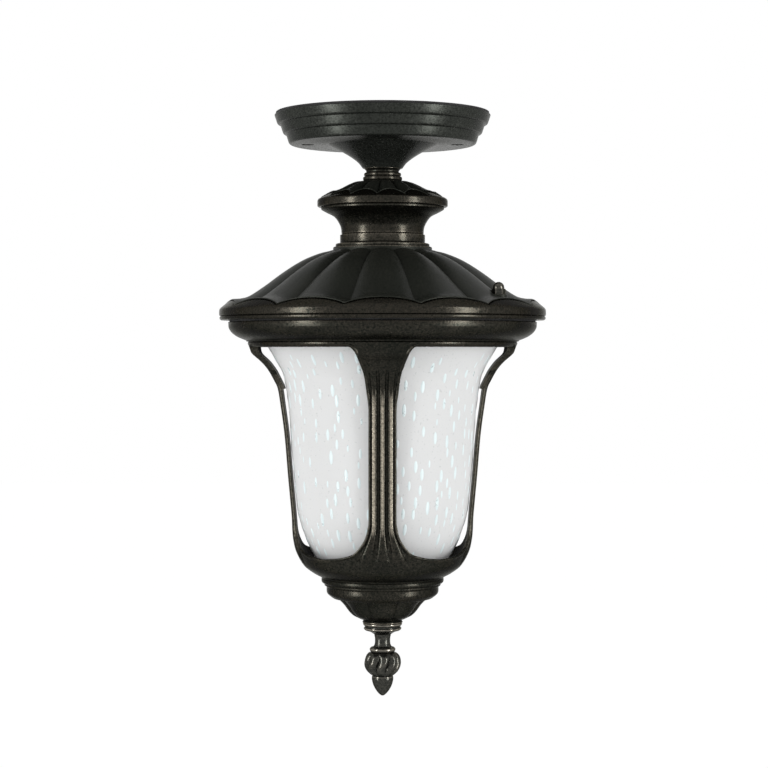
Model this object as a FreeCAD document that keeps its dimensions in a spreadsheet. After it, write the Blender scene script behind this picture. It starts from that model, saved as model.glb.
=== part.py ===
import FreeCAD, Part
import math
import os
import Sketcher
from FreeCAD import Placement, Rotation, Vector

# Porch ceiling lantern, millimetres, +Z up.
# The origin is the middle of the ceiling face; a cage rib faces -Y and the canopy screws lie on X.

os.makedirs("parts", exist_ok=True)
doc = FreeCAD.newDocument("porch_ceiling_lantern")

# ---------------------------------------------------------------- driving sizes
SIZES = [
    ("gasket_thick", 1.5),
    ("gasket_width", 6.0),
    ("canopy_radius", 68.0),
    ("canopy_depth", 20.0),
    ("canopy_wall", 2.4),
    ("band_taper", 1.9),
    ("band_step", 1.8),
    ("cone_radius", 34.3),
    ("cone_tip_radius", 12.0),
    ("cone_depth", 15.0),
    ("bracket_thick", 2.0),
    ("bracket_width", 22.0),
    ("bracket_plate", 72.0),
    ("bracket_foot", 17.0),
    ("bracket_bore", 6.0),
    ("slot_width", 5.0),
    ("slot_length", 12.0),
    ("slot_spacing", 48.0),
    ("canopy_screw_spacing", 94.0),
    ("screw_radius", 2.0),
    ("screw_head_radius", 3.7),
    ("screw_length", 11.0),
    ("nipple_radius", 5.0),
    ("nipple_bore", 3.9),
    ("nipple_rise", 9.0),
    ("nut_flats", 14.0),
    ("nut_height", 5.0),
    ("washer_radius", 9.0),
    ("washer_thick", 1.0),
    ("collar_height", 7.8),
    ("collar_radius", 12.0),
    ("collar_waist", 10.0),
    ("crown_height", 16.6),
    ("crown_radius", 41.0),
    ("crown_top_radius", 13.6),
    ("crown_band", 6.2),
    ("cove_height", 17.3),
    ("cove_top_radius", 38.7),
    ("cove_waist", 25.8),
    ("casting_wall", 2.8),
    ("top_plate", 3.0),
    ("neck_height", 9.6),
    ("neck_radius", 31.1),
    ("edge_roll", 0.8),
    ("rib_radius", 57.0),
    ("roof_radius", 102.5),
    ("roof_height", 53.8),
    ("fascia_height", 12.9),
    ("fascia_slope", 7.5),
    ("petal_count", 14.0),
    ("petal_depth", 3.3),
    ("crown_petal_depth", 1.9),
    ("crown_turn", 7.9),
    ("seal_thick", 1.0),
    ("seal_width", 5.1),
    ("cornice_radius", 97.0),
    ("cornice_height", 12.5),
    ("ring_radius", 84.6),
    ("ring_height", 4.5),
    ("ring_inner", 75.9),
    ("flange_thick", 4.0),
    ("bracket_height", 14.5),
    ("lap_gap", 0.1),
    ("strap_height", 113.0),
    ("strap_wall", 1.7),
    ("tongue_wall", 1.5),
    ("bracket_wall", 4.2),
    ("ledge_thick", 1.8),
    ("strap_half_width", 8.8),
    ("reed_pitch", 5.2),
    ("reed_width", 3.0),
    ("reed_depth", 0.8),
    ("bowl_depth", 15.5),
    ("bowl_floor", 3.0),
    ("band_height", 13.2),
    ("band_radius", 38.4),
    ("cup_height", 15.6),
    ("cup_radius", 28.4),
    ("cup_neck_radius", 12.7),
    ("rivet_radius", 1.5),
    ("stud_radius", 2.0),
    ("stud_circle", 84.0),
    ("stud_azimuth", 57.0),
    ("boss_radius", 5.6),
    ("cap_nut_flats", 7.4),
    ("cap_nut_hex", 3.4),
    ("cap_nut_height", 7.6),
    ("finial_flange", 12.4),
    ("finial_flange_thick", 4.8),
    ("finial_length", 46.2),
    ("finial_stem", 4.8),
    ("melon_radius", 11.6),
    ("finial_stud_radius", 3.0),
    ("finial_stud_bury", 8.0),
    ("finial_nut_flats", 10.0),
    ("finial_nut_height", 4.0),
    ("glass_wall", 2.8),
    ("glass_foot_radius", 41.5),
    ("glass_rib_gap", 1.5),
    ("seat_width", 5.0),
    ("seat_height", 6.5),
    ("lip_gasket_width", 3.0),
    ("holder_radius", 20.0),
    ("holder_cap_height", 20.0),
    ("holder_roof", 6.0),
    ("holder_barrel_height", 37.0),
    ("core_terminal_x", 6.0),
    ("contact_height", 3.0),
    ("holder_wall", 2.2),
    ("core_height", 6.0),
    ("shell_radius", 14.3),
    ("shell_wall", 0.8),
    ("shell_height", 26.0),
    ("lamp_cap_radius", 13.1),
    ("lamp_cap_height", 24.0),
    ("lamp_radius", 30.0),
    ("lamp_length", 106.0),
    ("bulb_wall", 0.9),
    ("lead_radius", 1.0),
    ("lead_offset", 1.75),
    ("terminal_length", 28.0),
    ("terminal_width", 14.0),
    ("terminal_height", 10.0),
    ("terminal_offset", 36.5),
    ("terminal_pitch", 8.5),
    ("terminal_screw_radius", 1.6),
    ("earth_x", 41.0),
    ("earth_y", 17.0),
    ("lug_length", 9.0),
    ("lug_width", 4.0),
    ("lug_thick", 1.0),
    ("contact_pin_radius", 2.0),
    ("contact_cap_radius", 4.0),
    ("contact_cap_thick", 0.8),
    ("fit", 0.05),
    ("clearance", 0.3),
]


# ---------------------------------------------------------------- sizes as linked values
def term(value):
    """The value and the expression text of a size or of a plain number."""
    if isinstance(value, Size):
        return value.value, value.text
    return float(value), "(%.6f)" % value


class Size:
    """A dimension: its value now, and the expression that ties it to the spreadsheet."""

    def __init__(self, value, text):
        self.value = value
        self.text = text

    def __add__(self, other):
        value, text = term(other)
        return Size(self.value + value, "(%s + %s)" % (self.text, text))

    def __sub__(self, other):
        value, text = term(other)
        return Size(self.value - value, "(%s - %s)" % (self.text, text))

    def __rsub__(self, other):
        value, text = term(other)
        return Size(value - self.value, "(%s - %s)" % (text, self.text))

    def __mul__(self, other):
        value, text = term(other)
        return Size(self.value * value, "(%s * %s)" % (self.text, text))

    def __truediv__(self, other):
        value, text = term(other)
        return Size(self.value / value, "(%s / %s)" % (self.text, text))

    def __neg__(self):
        return Size(-self.value, "(-1 * %s)" % self.text)

    __radd__ = __add__
    __rmul__ = __mul__


sheet = doc.addObject("Spreadsheet::Sheet", "Sizes")
for row, (alias, number) in enumerate(SIZES, start=1):
    sheet.set("A%d" % row, alias.replace("_", " "))
    sheet.set("B%d" % row, str(number))
    sheet.setAlias("B%d" % row, alias)
doc.recompute()


def size(alias):
    return Size(float(sheet.get(alias)), "Sizes.%s" % alias)


def cosine(degrees):
    return Size(math.cos(math.radians(degrees.value)), "cos(%s * 1 deg)" % degrees.text)


def sine(degrees):
    return Size(math.sin(math.radians(degrees.value)), "sin(%s * 1 deg)" % degrees.text)


def between(start, end, share):
    """The size that lies a given share of the way from start to end."""
    return start + (end - start) * share


centre = Size(0, "0")
fit = size("fit")
clear = size("clearance")

# ---------------------------------------------------------------- levels, from the ceiling down
rim_level = -size("gasket_thick")
face_level = -size("canopy_depth")
floor_level = face_level + size("canopy_wall")
collar_level = face_level - size("cone_depth")
crown_level = collar_level - size("collar_height")
cove_level = crown_level - size("crown_height")
roof_level = cove_level - size("cove_height")
petal_level = roof_level - size("neck_height")
eave_level = roof_level - size("roof_height")
cornice_level = eave_level - size("seal_thick")
ring_level = cornice_level - size("cornice_height")
rib_level = ring_level - size("ring_height")
lap_level = rib_level - size("bracket_height")
bowl_level = lap_level - size("strap_height")
band_level = bowl_level - size("bowl_depth")
cup_level = band_level - size("band_height")
finial_level = cup_level - size("cup_height")

nodes = []
scrap = 0


def scratch_name(word):
    global scrap
    scrap += 1
    return "%s_%d" % (word, scrap)


def node(obj, label):
    """Names a finished sub-part; its label is also the name of its file."""
    obj.Label = label
    nodes.append(obj)
    return obj


def bind(obj, **values):
    for name, value in values.items():
        if isinstance(value, Size):
            obj.setExpression(name, value.text)
        else:
            setattr(obj, name, value)


def place(obj, x=0, y=0, z=0):
    for axis, value in (("x", x), ("y", y), ("z", z)):
        if isinstance(value, Size):
            obj.setExpression("Placement.Base." + axis, value.text)
        elif value:
            obj.setExpression("Placement.Base." + axis, "%.6f" % value)
    return obj


# ---------------------------------------------------------------- building blocks
def cylinder(radius, height, z, x=0, y=0):
    obj = doc.addObject("Part::Cylinder", scratch_name("cylinder"))
    bind(obj, Radius=radius, Height=height)
    return place(obj, x, y, z)


def cone(low_radius, high_radius, height, z, x=0, y=0):
    obj = doc.addObject("Part::Cone", scratch_name("cone"))
    bind(obj, Radius1=low_radius, Radius2=high_radius, Height=height)
    return place(obj, x, y, z)


def box(length, width, height, x, y, z):
    """A box centred on x and y, with its lower face at z."""
    obj = doc.addObject("Part::Box", scratch_name("box"))
    bind(obj, Length=length, Width=width, Height=height)
    return place(obj, x - length / 2, y - width / 2, z)


def hexagon(flats, height, z, x=0, y=0):
    obj = doc.addObject("Part::Prism", scratch_name("hexagon"))
    obj.Polygon = 6
    bind(obj, Circumradius=flats / math.sqrt(3.0), Height=height)
    return place(obj, x, y, z)


def fuse(*shapes):
    obj = doc.addObject("Part::MultiFuse", scratch_name("fuse"))
    obj.Shapes = list(shapes)
    return obj


def common(*shapes):
    obj = doc.addObject("Part::MultiCommon", scratch_name("common"))
    obj.Shapes = list(shapes)
    return obj


def cut(base, *tools):
    obj = doc.addObject("Part::Cut", scratch_name("cut"))
    obj.Base = base
    obj.Tool = tools[0] if len(tools) == 1 else fuse(*tools)
    return obj


def ring(outer, inner, height, z, x=0, y=0):
    return cut(cylinder(outer, height, z, x, y), cylinder(inner, height + 2, z - 1, x, y))


def plane_of(body, role):
    return [item for item in body.Origin.OriginFeatures if item.Role == role][0]


def at(value):
    return value.value if isinstance(value, Size) else float(value)


def pin(sketch, geometry, end, across, up):
    """Ties one end of a sketch edge to its two coordinates."""
    for kind, value, axis in (("DistanceX", across, -2), ("DistanceY", up, -1)):
        if isinstance(value, Size):
            index = sketch.addConstraint(Sketcher.Constraint(kind, -1, 1, geometry, end, value.value))
            sketch.setExpression("Constraints[%d]" % index, value.text)
        elif value == 0:
            sketch.addConstraint(Sketcher.Constraint("PointOnObject", geometry, end, axis))
        else:
            sketch.addConstraint(Sketcher.Constraint(kind, -1, 1, geometry, end, float(value)))


def outline(sketch, points):
    """Draws a closed outline; a point marked "bow" is passed through by an arc."""
    corners = [index for index, point in enumerate(points) if len(point) == 2]
    edges = []
    for order, index in enumerate(corners):
        following = corners[(order + 1) % len(corners)]
        start = Vector(at(points[index][0]), at(points[index][1]), 0)
        end = Vector(at(points[following][0]), at(points[following][1]), 0)
        bow = points[index + 1] if index + 1 < len(points) and len(points[index + 1]) == 3 else None
        if bow:
            middle = Vector(at(bow[0]), at(bow[1]), 0)
            edge = sketch.addGeometry(Part.Arc(start, middle, end), False)
            turned_over = sketch.getPoint(edge, 1).distanceToPoint(start) > 1e-6
            mark = sketch.addGeometry(Part.Point(middle), True)
            sketch.addConstraint(Sketcher.Constraint("PointOnObject", mark, 1, edge))
            pin(sketch, mark, 1, bow[0], bow[1])
        else:
            edge = sketch.addGeometry(Part.LineSegment(start, end), False)
            turned_over = False
        edges.append((edge, 2 if turned_over else 1, 1 if turned_over else 2, points[index]))
    for order, (edge, first, last, point) in enumerate(edges):
        pin(sketch, edge, first, point[0], point[1])
        neighbour = edges[(order + 1) % len(edges)]
        sketch.addConstraint(Sketcher.Constraint("Coincident", edge, last, neighbour[0], neighbour[1]))
    return sketch


def sketch_on(body, role, offset=None):
    sketch = body.newObject("Sketcher::SketchObject", scratch_name("outline"))
    sketch.AttachmentSupport = (plane_of(body, role), [""])
    sketch.MapMode = "FlatFace"
    if offset is not None:
        bind(sketch, **{"AttachmentOffset.Base.z": offset})
    return sketch


def revolve(body, points, feature="PartDesign::Revolution"):
    """Turns an outline of radius and level about the lantern's axis."""
    sketch = outline(sketch_on(body, "XZ_Plane"), points)
    turn = body.newObject(feature, scratch_name("turning"))
    turn.Profile = sketch
    turn.ReferenceAxis = (sketch, ["V_Axis"])
    turn.Angle = 360
    body.Tip = turn
    return turn


def turned(points):
    body = doc.addObject("PartDesign::Body", scratch_name("body"))
    revolve(body, points)
    return body


def tube(radius, points):
    """A round wire along straight runs joined by tangent arcs."""
    route = [Vector(*[at(value) for value in point]) for point in points]
    edges = []
    start = route[0]
    radii = []
    for before, corner, after in zip(route, route[1:], route[2:]):
        inward = (before - corner).normalize()
        outward = (after - corner).normalize()
        half_turn = (math.pi - inward.getAngle(outward)) / 2
        run = min(corner.distanceToPoint(before), corner.distanceToPoint(after))
        trim = 0.45 * run
        bend = trim / math.tan(half_turn)
        radii.append(round(bend, 1))
        first = corner + inward * trim
        last = corner + outward * trim
        bisector = (inward + outward).normalize()
        middle = corner + bisector * (bend / math.cos(half_turn) - bend)
        edges.append(Part.LineSegment(start, first).toShape())
        edges.append(Part.Arc(first, middle, last).toShape())
        start = last
    edges.append(Part.LineSegment(start, route[-1]).toShape())
    path = Part.Wire(edges)
    heading = route[1] - route[0]
    section = Part.Wire([Part.makeCircle(radius, route[0], heading)])
    shape = path.makePipeShell([section], True, False)
    expected = math.pi * radius * radius * path.Length
    print("lead bends %s, volume share %.4f" % (radii, shape.Volume / expected))
    obj = doc.addObject("Part::Feature", scratch_name("lead"))
    obj.Shape = shape
    return obj


def petalled(section, turn=0.0):
    """A casting with convex petals round the axis, laid out petal by petal and closed into one solid.

    The section gives the outline of radius and level for a share of the petal's depth, which is
    nothing along the crest and whole in the crease between two petals.
    """
    count = round(size("petal_count").value)
    half_pitch = 180.0 / count
    outlines = []
    for share in (-1.0, -2.0 / 3, -1.0 / 3, 0.0, 1.0 / 3, 2.0 / 3, 1.0):
        azimuth = math.radians(share * half_pitch - 90.0 + turn)
        points = []
        for across, up in section(share * share):
            points.append(Vector(at(across) * math.cos(azimuth), at(across) * math.sin(azimuth), at(up)))
        outlines.append(Part.makePolygon(points + points[:1]))
    sector = Part.makeLoft(outlines, True, False)
    axis_middle = Vector(0, 0, 0)
    upward = Vector(0, 0, 1)
    faces = []
    for face in sector.Faces:
        centre = face.CenterOfMass
        azimuth = math.degrees(math.atan2(centre.y, centre.x)) + 90.0 - turn
        if abs(abs(azimuth) - half_pitch) < 0.01:
            continue
        for number in range(count):
            copy = face.copy()
            copy.rotate(axis_middle, upward, number * 2 * half_pitch)
            faces.append(copy)
    skin = Part.makeCompound(faces)
    skin.sewShape()
    solid = Part.makeSolid(skin.Shells[0])
    if solid.Volume < 0:
        solid.reverse()
    obj = doc.addObject("Part::Feature", scratch_name("petalled"))
    obj.Shape = solid
    return obj


def meet(first, second, low, high):
    """Where the line through two points of a slope meets the line from low to high."""
    (x1, y1), (x2, y2) = first, second
    (x3, y3), (x4, y4) = low, high
    scale = (x1 - x2) * (y3 - y4) - (y1 - y2) * (x3 - x4)
    one = x1 * y2 - y1 * x2
    two = x3 * y4 - y3 * x4
    across = (one * (x3 - x4) - (x1 - x2) * two) / scale
    up = (one * (y3 - y4) - (y1 - y2) * two) / scale
    return (across, up)


bore = size("nipple_radius") + fit

# ---------------------------------------------------------------- ceiling gasket
canopy_r = size("canopy_radius")
gasket_r = canopy_r - 1
node(ring(gasket_r, gasket_r - size("gasket_width"), size("gasket_thick"), rim_level), "canopy_gasket")

# ---------------------------------------------------------------- canopy: three bands, flat face, cone
band_drop = (rim_level - face_level) / 3
taper = size("band_taper")
step = size("band_step")
wall = size("canopy_wall")
cone_r = size("cone_radius")
tip_r = size("cone_tip_radius")
foot_r = canopy_r - taper * 3 - step * 2
cone_bow_r = between(tip_r, cone_r, 0.44)
cone_bow_level = between(face_level, collar_level, 0.5)
cone_inner_r = cone_r - wall / 2
canopy_shell = turned([
    (canopy_r, rim_level),
    (canopy_r - taper, rim_level - band_drop),
    (canopy_r - taper - step, rim_level - band_drop),
    (canopy_r - taper * 2 - step, rim_level - band_drop * 2),
    (canopy_r - taper * 2 - step * 2, rim_level - band_drop * 2),
    (foot_r, face_level + 1.3),
    (foot_r - 0.4, face_level + 0.4, "bow"),
    (foot_r - 1.3, face_level),
    (cone_r, face_level),
    (cone_bow_r, cone_bow_level, "bow"),
    (tip_r, collar_level),
    (bore, collar_level),
    (bore, collar_level + wall),
    (tip_r - 1.5, collar_level + wall),
    (cone_bow_r - wall / 2, cone_bow_level + wall, "bow"),
    (cone_inner_r, floor_level),
    (foot_r - wall, floor_level),
    (canopy_r - wall - 0.4, rim_level),
])
screw_x = size("canopy_screw_spacing") / 2
head_r = size("screw_head_radius")
shank_r = size("screw_radius")
canopy_holes = []
for side in (-1, 1):
    canopy_holes.append(cylinder(shank_r + clear, wall + 2, face_level - 1, screw_x * side))
    canopy_holes.append(cone(head_r + 0.2, shank_r + clear, wall, face_level, screw_x * side))
earth_x = size("earth_x")
earth_y = size("earth_y")
canopy_holes.append(cylinder(shank_r + fit, wall / 2 + 1, floor_level - wall / 2, earth_x * -1, earth_y))
node(cut(canopy_shell, *canopy_holes), "canopy")

# ---------------------------------------------------------------- ceiling bracket: a hat-shaped strap
thick = size("bracket_thick")
strap_w = size("bracket_width")
plate = size("bracket_plate")
foot = size("bracket_foot")
leg_x = plate / 2 - thick / 2
foot_x = plate / 2 - thick + foot / 2
drop = -floor_level
bracket_parts = [box(plate, strap_w, thick, centre, centre, -thick)]
for side in (-1, 1):
    bracket_parts.append(box(thick, strap_w, drop, leg_x * side, centre, floor_level))
    bracket_parts.append(box(foot, strap_w, thick, foot_x * side, centre, floor_level))
bracket_holes = [cylinder(size("bracket_bore"), thick + 2, -thick - 1)]
slot_w = size("slot_width")
slot_run = size("slot_length") - slot_w
for side in (-1, 1):
    slot_x = size("slot_spacing") / 2 * side
    bracket_holes.append(box(slot_run, slot_w, thick + 2, slot_x, centre, -thick - 1))
    for end in (-1, 1):
        bracket_holes.append(cylinder(slot_w / 2, thick + 2, -thick - 1, slot_x + slot_run / 2 * end))
    bracket_holes.append(cylinder(shank_r + fit, thick + 2, floor_level - 1, screw_x * side))
node(cut(fuse(*bracket_parts), *bracket_holes), "ceiling_bracket")

# ---------------------------------------------------------------- canopy screws and earth screw
canopy_screws = []
for side in (-1, 1):
    canopy_screws.append(cylinder(shank_r, size("screw_length"), face_level, screw_x * side))
    canopy_screws.append(cone(head_r, shank_r, wall * 0.85, face_level, screw_x * side))
node(fuse(*canopy_screws), "canopy_screws")
node(fuse(
    cylinder(shank_r, wall / 2 + 1, floor_level - wall / 2, earth_x * -1, earth_y),
    cylinder(head_r, 2, floor_level + size("lug_thick"), earth_x * -1, earth_y)), "earth_screw")
lug_t = size("lug_thick")
lug_len = size("lug_length")
lug = fuse(
    cylinder(head_r + 0.6, lug_t, floor_level, earth_x * -1, earth_y),
    box(lug_len, size("lug_width"), lug_t, lug_len / 2 + 0.5 - earth_x, earth_y, floor_level))
node(cut(lug, cylinder(shank_r + fit, 3, floor_level - 1, earth_x * -1, earth_y)), "earth_lug")

# ---------------------------------------------------------------- terminal block
block_len = size("terminal_length")
block_w = size("terminal_width")
block_h = size("terminal_height")
block_y = size("terminal_offset") + block_w / 2
pitch = size("terminal_pitch")
lead_r = size("lead_radius")
block_screw_r = size("terminal_screw_radius")
lead_level = floor_level + block_h * 0.45
well_level = floor_level + block_h - 3
block_cuts = []
block_screws = []
for place_number in (-1, 0, 1):
    entry = cylinder(lead_r + fit, 3, 0)
    entry.Placement = Placement(Vector(0, 0, 0), Rotation(Vector(1, 0, 0), -90))
    place(entry, pitch * place_number, size("terminal_offset") - 0.5, lead_level)
    block_cuts.append(entry)
    for row in (-1, 1):
        screw_y = block_y + block_w * 0.27 * row
        screw_x_here = pitch * place_number
        block_cuts.append(cylinder(block_screw_r + fit, 5, well_level, screw_x_here, screw_y))
        block_screws.append(cylinder(block_screw_r, 2.6, well_level, screw_x_here, screw_y))
block = box(block_len, block_w, block_h, centre, block_y, floor_level)
node(cut(block, *block_cuts), "terminal_block")
node(fuse(*block_screws), "terminal_screws")

# ---------------------------------------------------------------- threaded tube and its nuts
nut_h = size("nut_height")
washer_t = size("washer_thick")
inner_tip_level = collar_level + wall
holder_level = roof_level - size("top_plate") - washer_t - nut_h - 1.5
holder_cap_h = size("holder_cap_height")
tube_top = inner_tip_level + size("nipple_rise")
tube_foot = holder_level - size("holder_roof")
tube_r = size("nipple_radius")
node(ring(tube_r, size("nipple_bore"), tube_top - tube_foot, tube_foot), "threaded_tube")
node(ring(size("washer_radius"), bore, washer_t, inner_tip_level), "tube_top_washer")
nut_level = inner_tip_level + washer_t
top_nut_bore = cylinder(bore, nut_h + 2, nut_level - 1)
node(cut(hexagon(size("nut_flats"), nut_h, nut_level), top_nut_bore), "tube_top_nut")
low_washer_level = roof_level - size("top_plate") - washer_t
node(ring(size("washer_radius"), bore, washer_t, low_washer_level), "tube_lower_washer")
low_nut_level = low_washer_level - nut_h
node(cut(hexagon(size("nut_flats"), nut_h, low_nut_level), cylinder(bore, nut_h + 2, low_nut_level - 1)),
     "tube_lower_nut")

# ---------------------------------------------------------------- neck collar with two beads
collar_r = size("collar_radius")
waist_r = size("collar_waist")
node(turned([
    (bore, collar_level),
    (collar_r - 0.6, collar_level),
    (waist_r, between(collar_level, crown_level, 0.22)),
    (waist_r, between(collar_level, crown_level, 0.36)),
    (collar_r - 0.6, between(collar_level, crown_level, 0.5), "bow"),
    (waist_r + 0.6, between(collar_level, crown_level, 0.64)),
    (collar_r + 0.2, between(collar_level, crown_level, 0.8), "bow"),
    (collar_r - 0.2, crown_level),
    (bore, crown_level),
]), "neck_collar")

# ---------------------------------------------------------------- crown cap with petals
crown_r = size("crown_radius")
crown_top_r = size("crown_top_radius")
crown_edge_level = cove_level + size("crown_band")
crown_fall = crown_level - crown_edge_level
crown_depth = size("crown_petal_depth")
casting = size("casting_wall")
plate_t = size("top_plate")
cove_top_r = size("cove_top_radius")
CROWN_LINE = [(0.0, 0.0, 0.3), (0.18, 0.09, 0.6), (0.42, 0.42, 0.8), (0.68, 0.78, 1.0), (0.88, 0.95, 1.0)]


def crown_section(share):
    """The crown cap's outline, its petals lowered by a share of their depth."""
    lowered = crown_depth.value * share
    points = [(tube_r.value - 1, crown_level.value), (crown_top_r.value - 1.5, crown_level.value)]
    for reach, fall, depth in CROWN_LINE:
        across = between(crown_top_r.value, crown_r.value, reach)
        points.append((across, crown_level.value - crown_fall.value * fall - lowered * depth - 0.3))
    edge = crown_edge_level.value - lowered
    roll = size("edge_roll").value
    points += [(crown_r.value - roll, edge), (crown_r.value, edge - roll)]
    points += [(crown_r.value, cove_level.value + roll), (crown_r.value - roll, cove_level.value)]
    inner_r = crown_r.value - casting.value
    roof_of_hollow = crown_edge_level.value - crown_depth.value - casting.value * 0.5
    hub_r = bore.value + casting.value
    points += [(inner_r, cove_level.value), (inner_r, roof_of_hollow)]
    points += [(hub_r, roof_of_hollow), (hub_r, cove_level.value), (tube_r.value - 1, cove_level.value)]
    return points


crown_body = petalled(crown_section, size("crown_turn").value)
crown_bore = cylinder(bore, size("crown_height") + 2, cove_level - 1)
node(cut(crown_body, crown_bore), "crown_cap")

# ---------------------------------------------------------------- cove neck
cove_r = size("cove_waist")
cove_inner = cove_r - casting
node(turned([
    (bore, cove_level),
    (cove_top_r, cove_level),
    (cove_top_r, cove_level - 1.6),
    (between(cove_r, cove_top_r, 0.22), between(cove_level, roof_level, 0.44), "bow"),
    (cove_r, between(cove_level, roof_level, 0.78)),
    (cove_r, roof_level),
    (cove_inner, roof_level),
    (cove_inner, cove_level - plate_t),
    (bore, cove_level - plate_t),
]), "neck_cove")

# ---------------------------------------------------------------- roof: stepped neck, petals, fascia
roof_r = size("roof_radius")
neck_r = size("neck_radius")
fascia_h = size("fascia_height")
fascia_top = eave_level + fascia_h
fascia_top_r = roof_r - size("fascia_slope")
roof_fall = petal_level - fascia_top
petal_depth = size("petal_depth")
ROOF_LINE = [
    (0.05, 0.03, 0.45),
    (0.16, 0.09, 0.75),
    (0.32, 0.23, 0.95),
    (0.50, 0.46, 1.0),
    (0.68, 0.73, 1.0),
    (0.83, 0.93, 1.0),
    (0.92, 0.98, 1.0),
]
FASCIA_SHOULDER = 0.38


def roof_section(share):
    """The roof's outline: stepped neck, petal line, slanted fascia, bead and the hollow below."""
    lowered = petal_depth.value * share
    top = roof_level.value
    start = neck_r.value
    low_step = petal_level.value + 2.6
    points = [(tube_r.value - 1, top), (start - 3.9, top), (start - 3.9, top - 4.8)]
    points += [(start - 1.6, top - 4.8), (start - 1.6, low_step), (start, low_step)]
    points.append((start, petal_level.value - lowered * 0.4))
    for reach, fall, depth in ROOF_LINE:
        across = between(start, fascia_top_r.value, reach)
        points.append((across, petal_level.value - roof_fall.value * fall - lowered * depth))
    shoulder = (roof_r.value - 1.2, fascia_top.value - fascia_h.value * FASCIA_SHOULDER)
    edge_end = (fascia_top_r.value, fascia_top.value - lowered)
    points.append(meet(points[-1], edge_end, (fascia_top_r.value, fascia_top.value), shoulder))
    bead = eave_level.value + 2.4
    roll = size("edge_roll").value
    points += [shoulder, (roof_r.value, shoulder[1] - roll * 1.5), (roof_r.value, bead + 0.3)]
    points += [(roof_r.value - 0.8, bead), (roof_r.value - 0.3, bead - 0.9)]
    points += [(roof_r.value - 0.6, eave_level.value + 0.5), (roof_r.value - 1.2, eave_level.value)]
    skin = petal_depth.value + casting.value
    inside_r = roof_r.value - casting.value * 2
    points += [(inside_r, eave_level.value), (inside_r, fascia_top.value - skin - 1)]
    for reach, fall, depth in ((0.83, 0.93, 1.0), (0.50, 0.46, 1.0), (0.24, 0.16, 1.0)):
        across = between(start, fascia_top_r.value, reach)
        points.append((across, petal_level.value - roof_fall.value * fall - skin))
    inner_neck = start - 3.9 - casting.value
    points += [(inner_neck, petal_level.value - casting.value), (inner_neck, top - plate_t.value)]
    points.append((tube_r.value - 1, top - plate_t.value))
    return points


roof_body = petalled(roof_section)
stud_azimuth = size("stud_azimuth")
stud_circle = size("stud_circle")
stud_r = size("stud_radius")
stud_x = stud_circle * sine(stud_azimuth)
stud_y = -(stud_circle * cosine(stud_azimuth))
boss_r = size("boss_radius")
boss_level = petal_level - roof_fall * 0.93
boss_foot = fascia_top - petal_depth - casting - 1
bosses = []
boss_clearing = []
for side in (-1, 1):
    bosses.append(cylinder(boss_r, boss_level - boss_foot, boss_foot, stud_x * side, stud_y * side))
    boss_clearing.append(cylinder(boss_r, size("cap_nut_height"), boss_level, stud_x * side, stud_y * side))
    boss_clearing.append(cylinder(stud_r + clear, 14, boss_foot - 1, stud_x * side, stud_y * side))
roof_bore = cylinder(bore, plate_t + 2, roof_level - plate_t - 1)
node(cut(fuse(roof_body, *bosses), roof_bore, *boss_clearing), "roof")

# ---------------------------------------------------------------- seal between roof and cage
seal_r = size("cornice_radius") - 1
seal_t = size("seal_thick")
flange_inner = size("ring_inner") + size("lip_gasket_width")
stud_passes = [
    cylinder(stud_r + clear, seal_t + 2, cornice_level - 1, stud_x * side, stud_y * side) for side in (-1, 1)]
node(cut(ring(seal_r, seal_r - size("seal_width"), seal_t, cornice_level), *stud_passes), "roof_seal")

# ---------------------------------------------------------------- cap nuts and studs that hold the cage
cap_flats = size("cap_nut_flats")
cap_hex = size("cap_nut_hex")
cap_h = size("cap_nut_height")
dome_r = cap_flats / 2 - 0.3
stud_rise = cap_h - 2
for side, name in ((1, "front"), (-1, "rear")):
    dome_body = turned([
        (0, boss_level + cap_hex),
        (dome_r, boss_level + cap_hex),
        (dome_r, boss_level + cap_h - dome_r * 0.8),
        (dome_r * 0.86, boss_level + cap_h - dome_r * 0.42),
        (dome_r * 0.52, boss_level + cap_h - dome_r * 0.12),
        (0, boss_level + cap_h),
    ])
    place(dome_body, stud_x * side, stud_y * side)
    hex_body = hexagon(cap_flats, cap_hex, boss_level, stud_x * side, stud_y * side)
    thread = cylinder(stud_r + fit, stud_rise + fit + 1, boss_level - 1, stud_x * side, stud_y * side)
    node(cut(fuse(hex_body, dome_body), thread), "roof_nut_" + name)
cornice_r = size("cornice_radius")
flange_t = size("flange_thick")
stud_foot = cornice_level - flange_t
stud_height = boss_level + stud_rise - stud_foot
studs = [cylinder(stud_r, stud_height, stud_foot, stud_x * side, stud_y * side) for side in (-1, 1)]
node(fuse(*studs), "cage_studs")

# ---------------------------------------------------------------- cage crown: cornice, ring, four brackets
ring_r = size("ring_radius")
ring_inner = size("ring_inner")
strap_wall = size("strap_wall")
reed_depth = size("reed_depth")
lap_gap = size("lap_gap")
half_w = size("strap_half_width")
cornice_ring = turned([
    (flange_inner, cornice_level),
    (cornice_r, cornice_level),
    (cornice_r - 0.6, between(cornice_level, ring_level, 0.3), "bow"),
    (cornice_r - 3.2, between(cornice_level, ring_level, 0.62)),
    (cornice_r - 7.0, between(cornice_level, ring_level, 0.88), "bow"),
    (ring_r + 0.3, ring_level),
    (ring_r, ring_level),
    (ring_r - 0.4, rib_level + 0.6),
    (ring_r - 1.4, rib_level),
    (ring_inner, rib_level),
    (ring_inner, rib_level + size("ledge_thick")),
    (flange_inner, rib_level + size("ledge_thick")),
])

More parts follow.
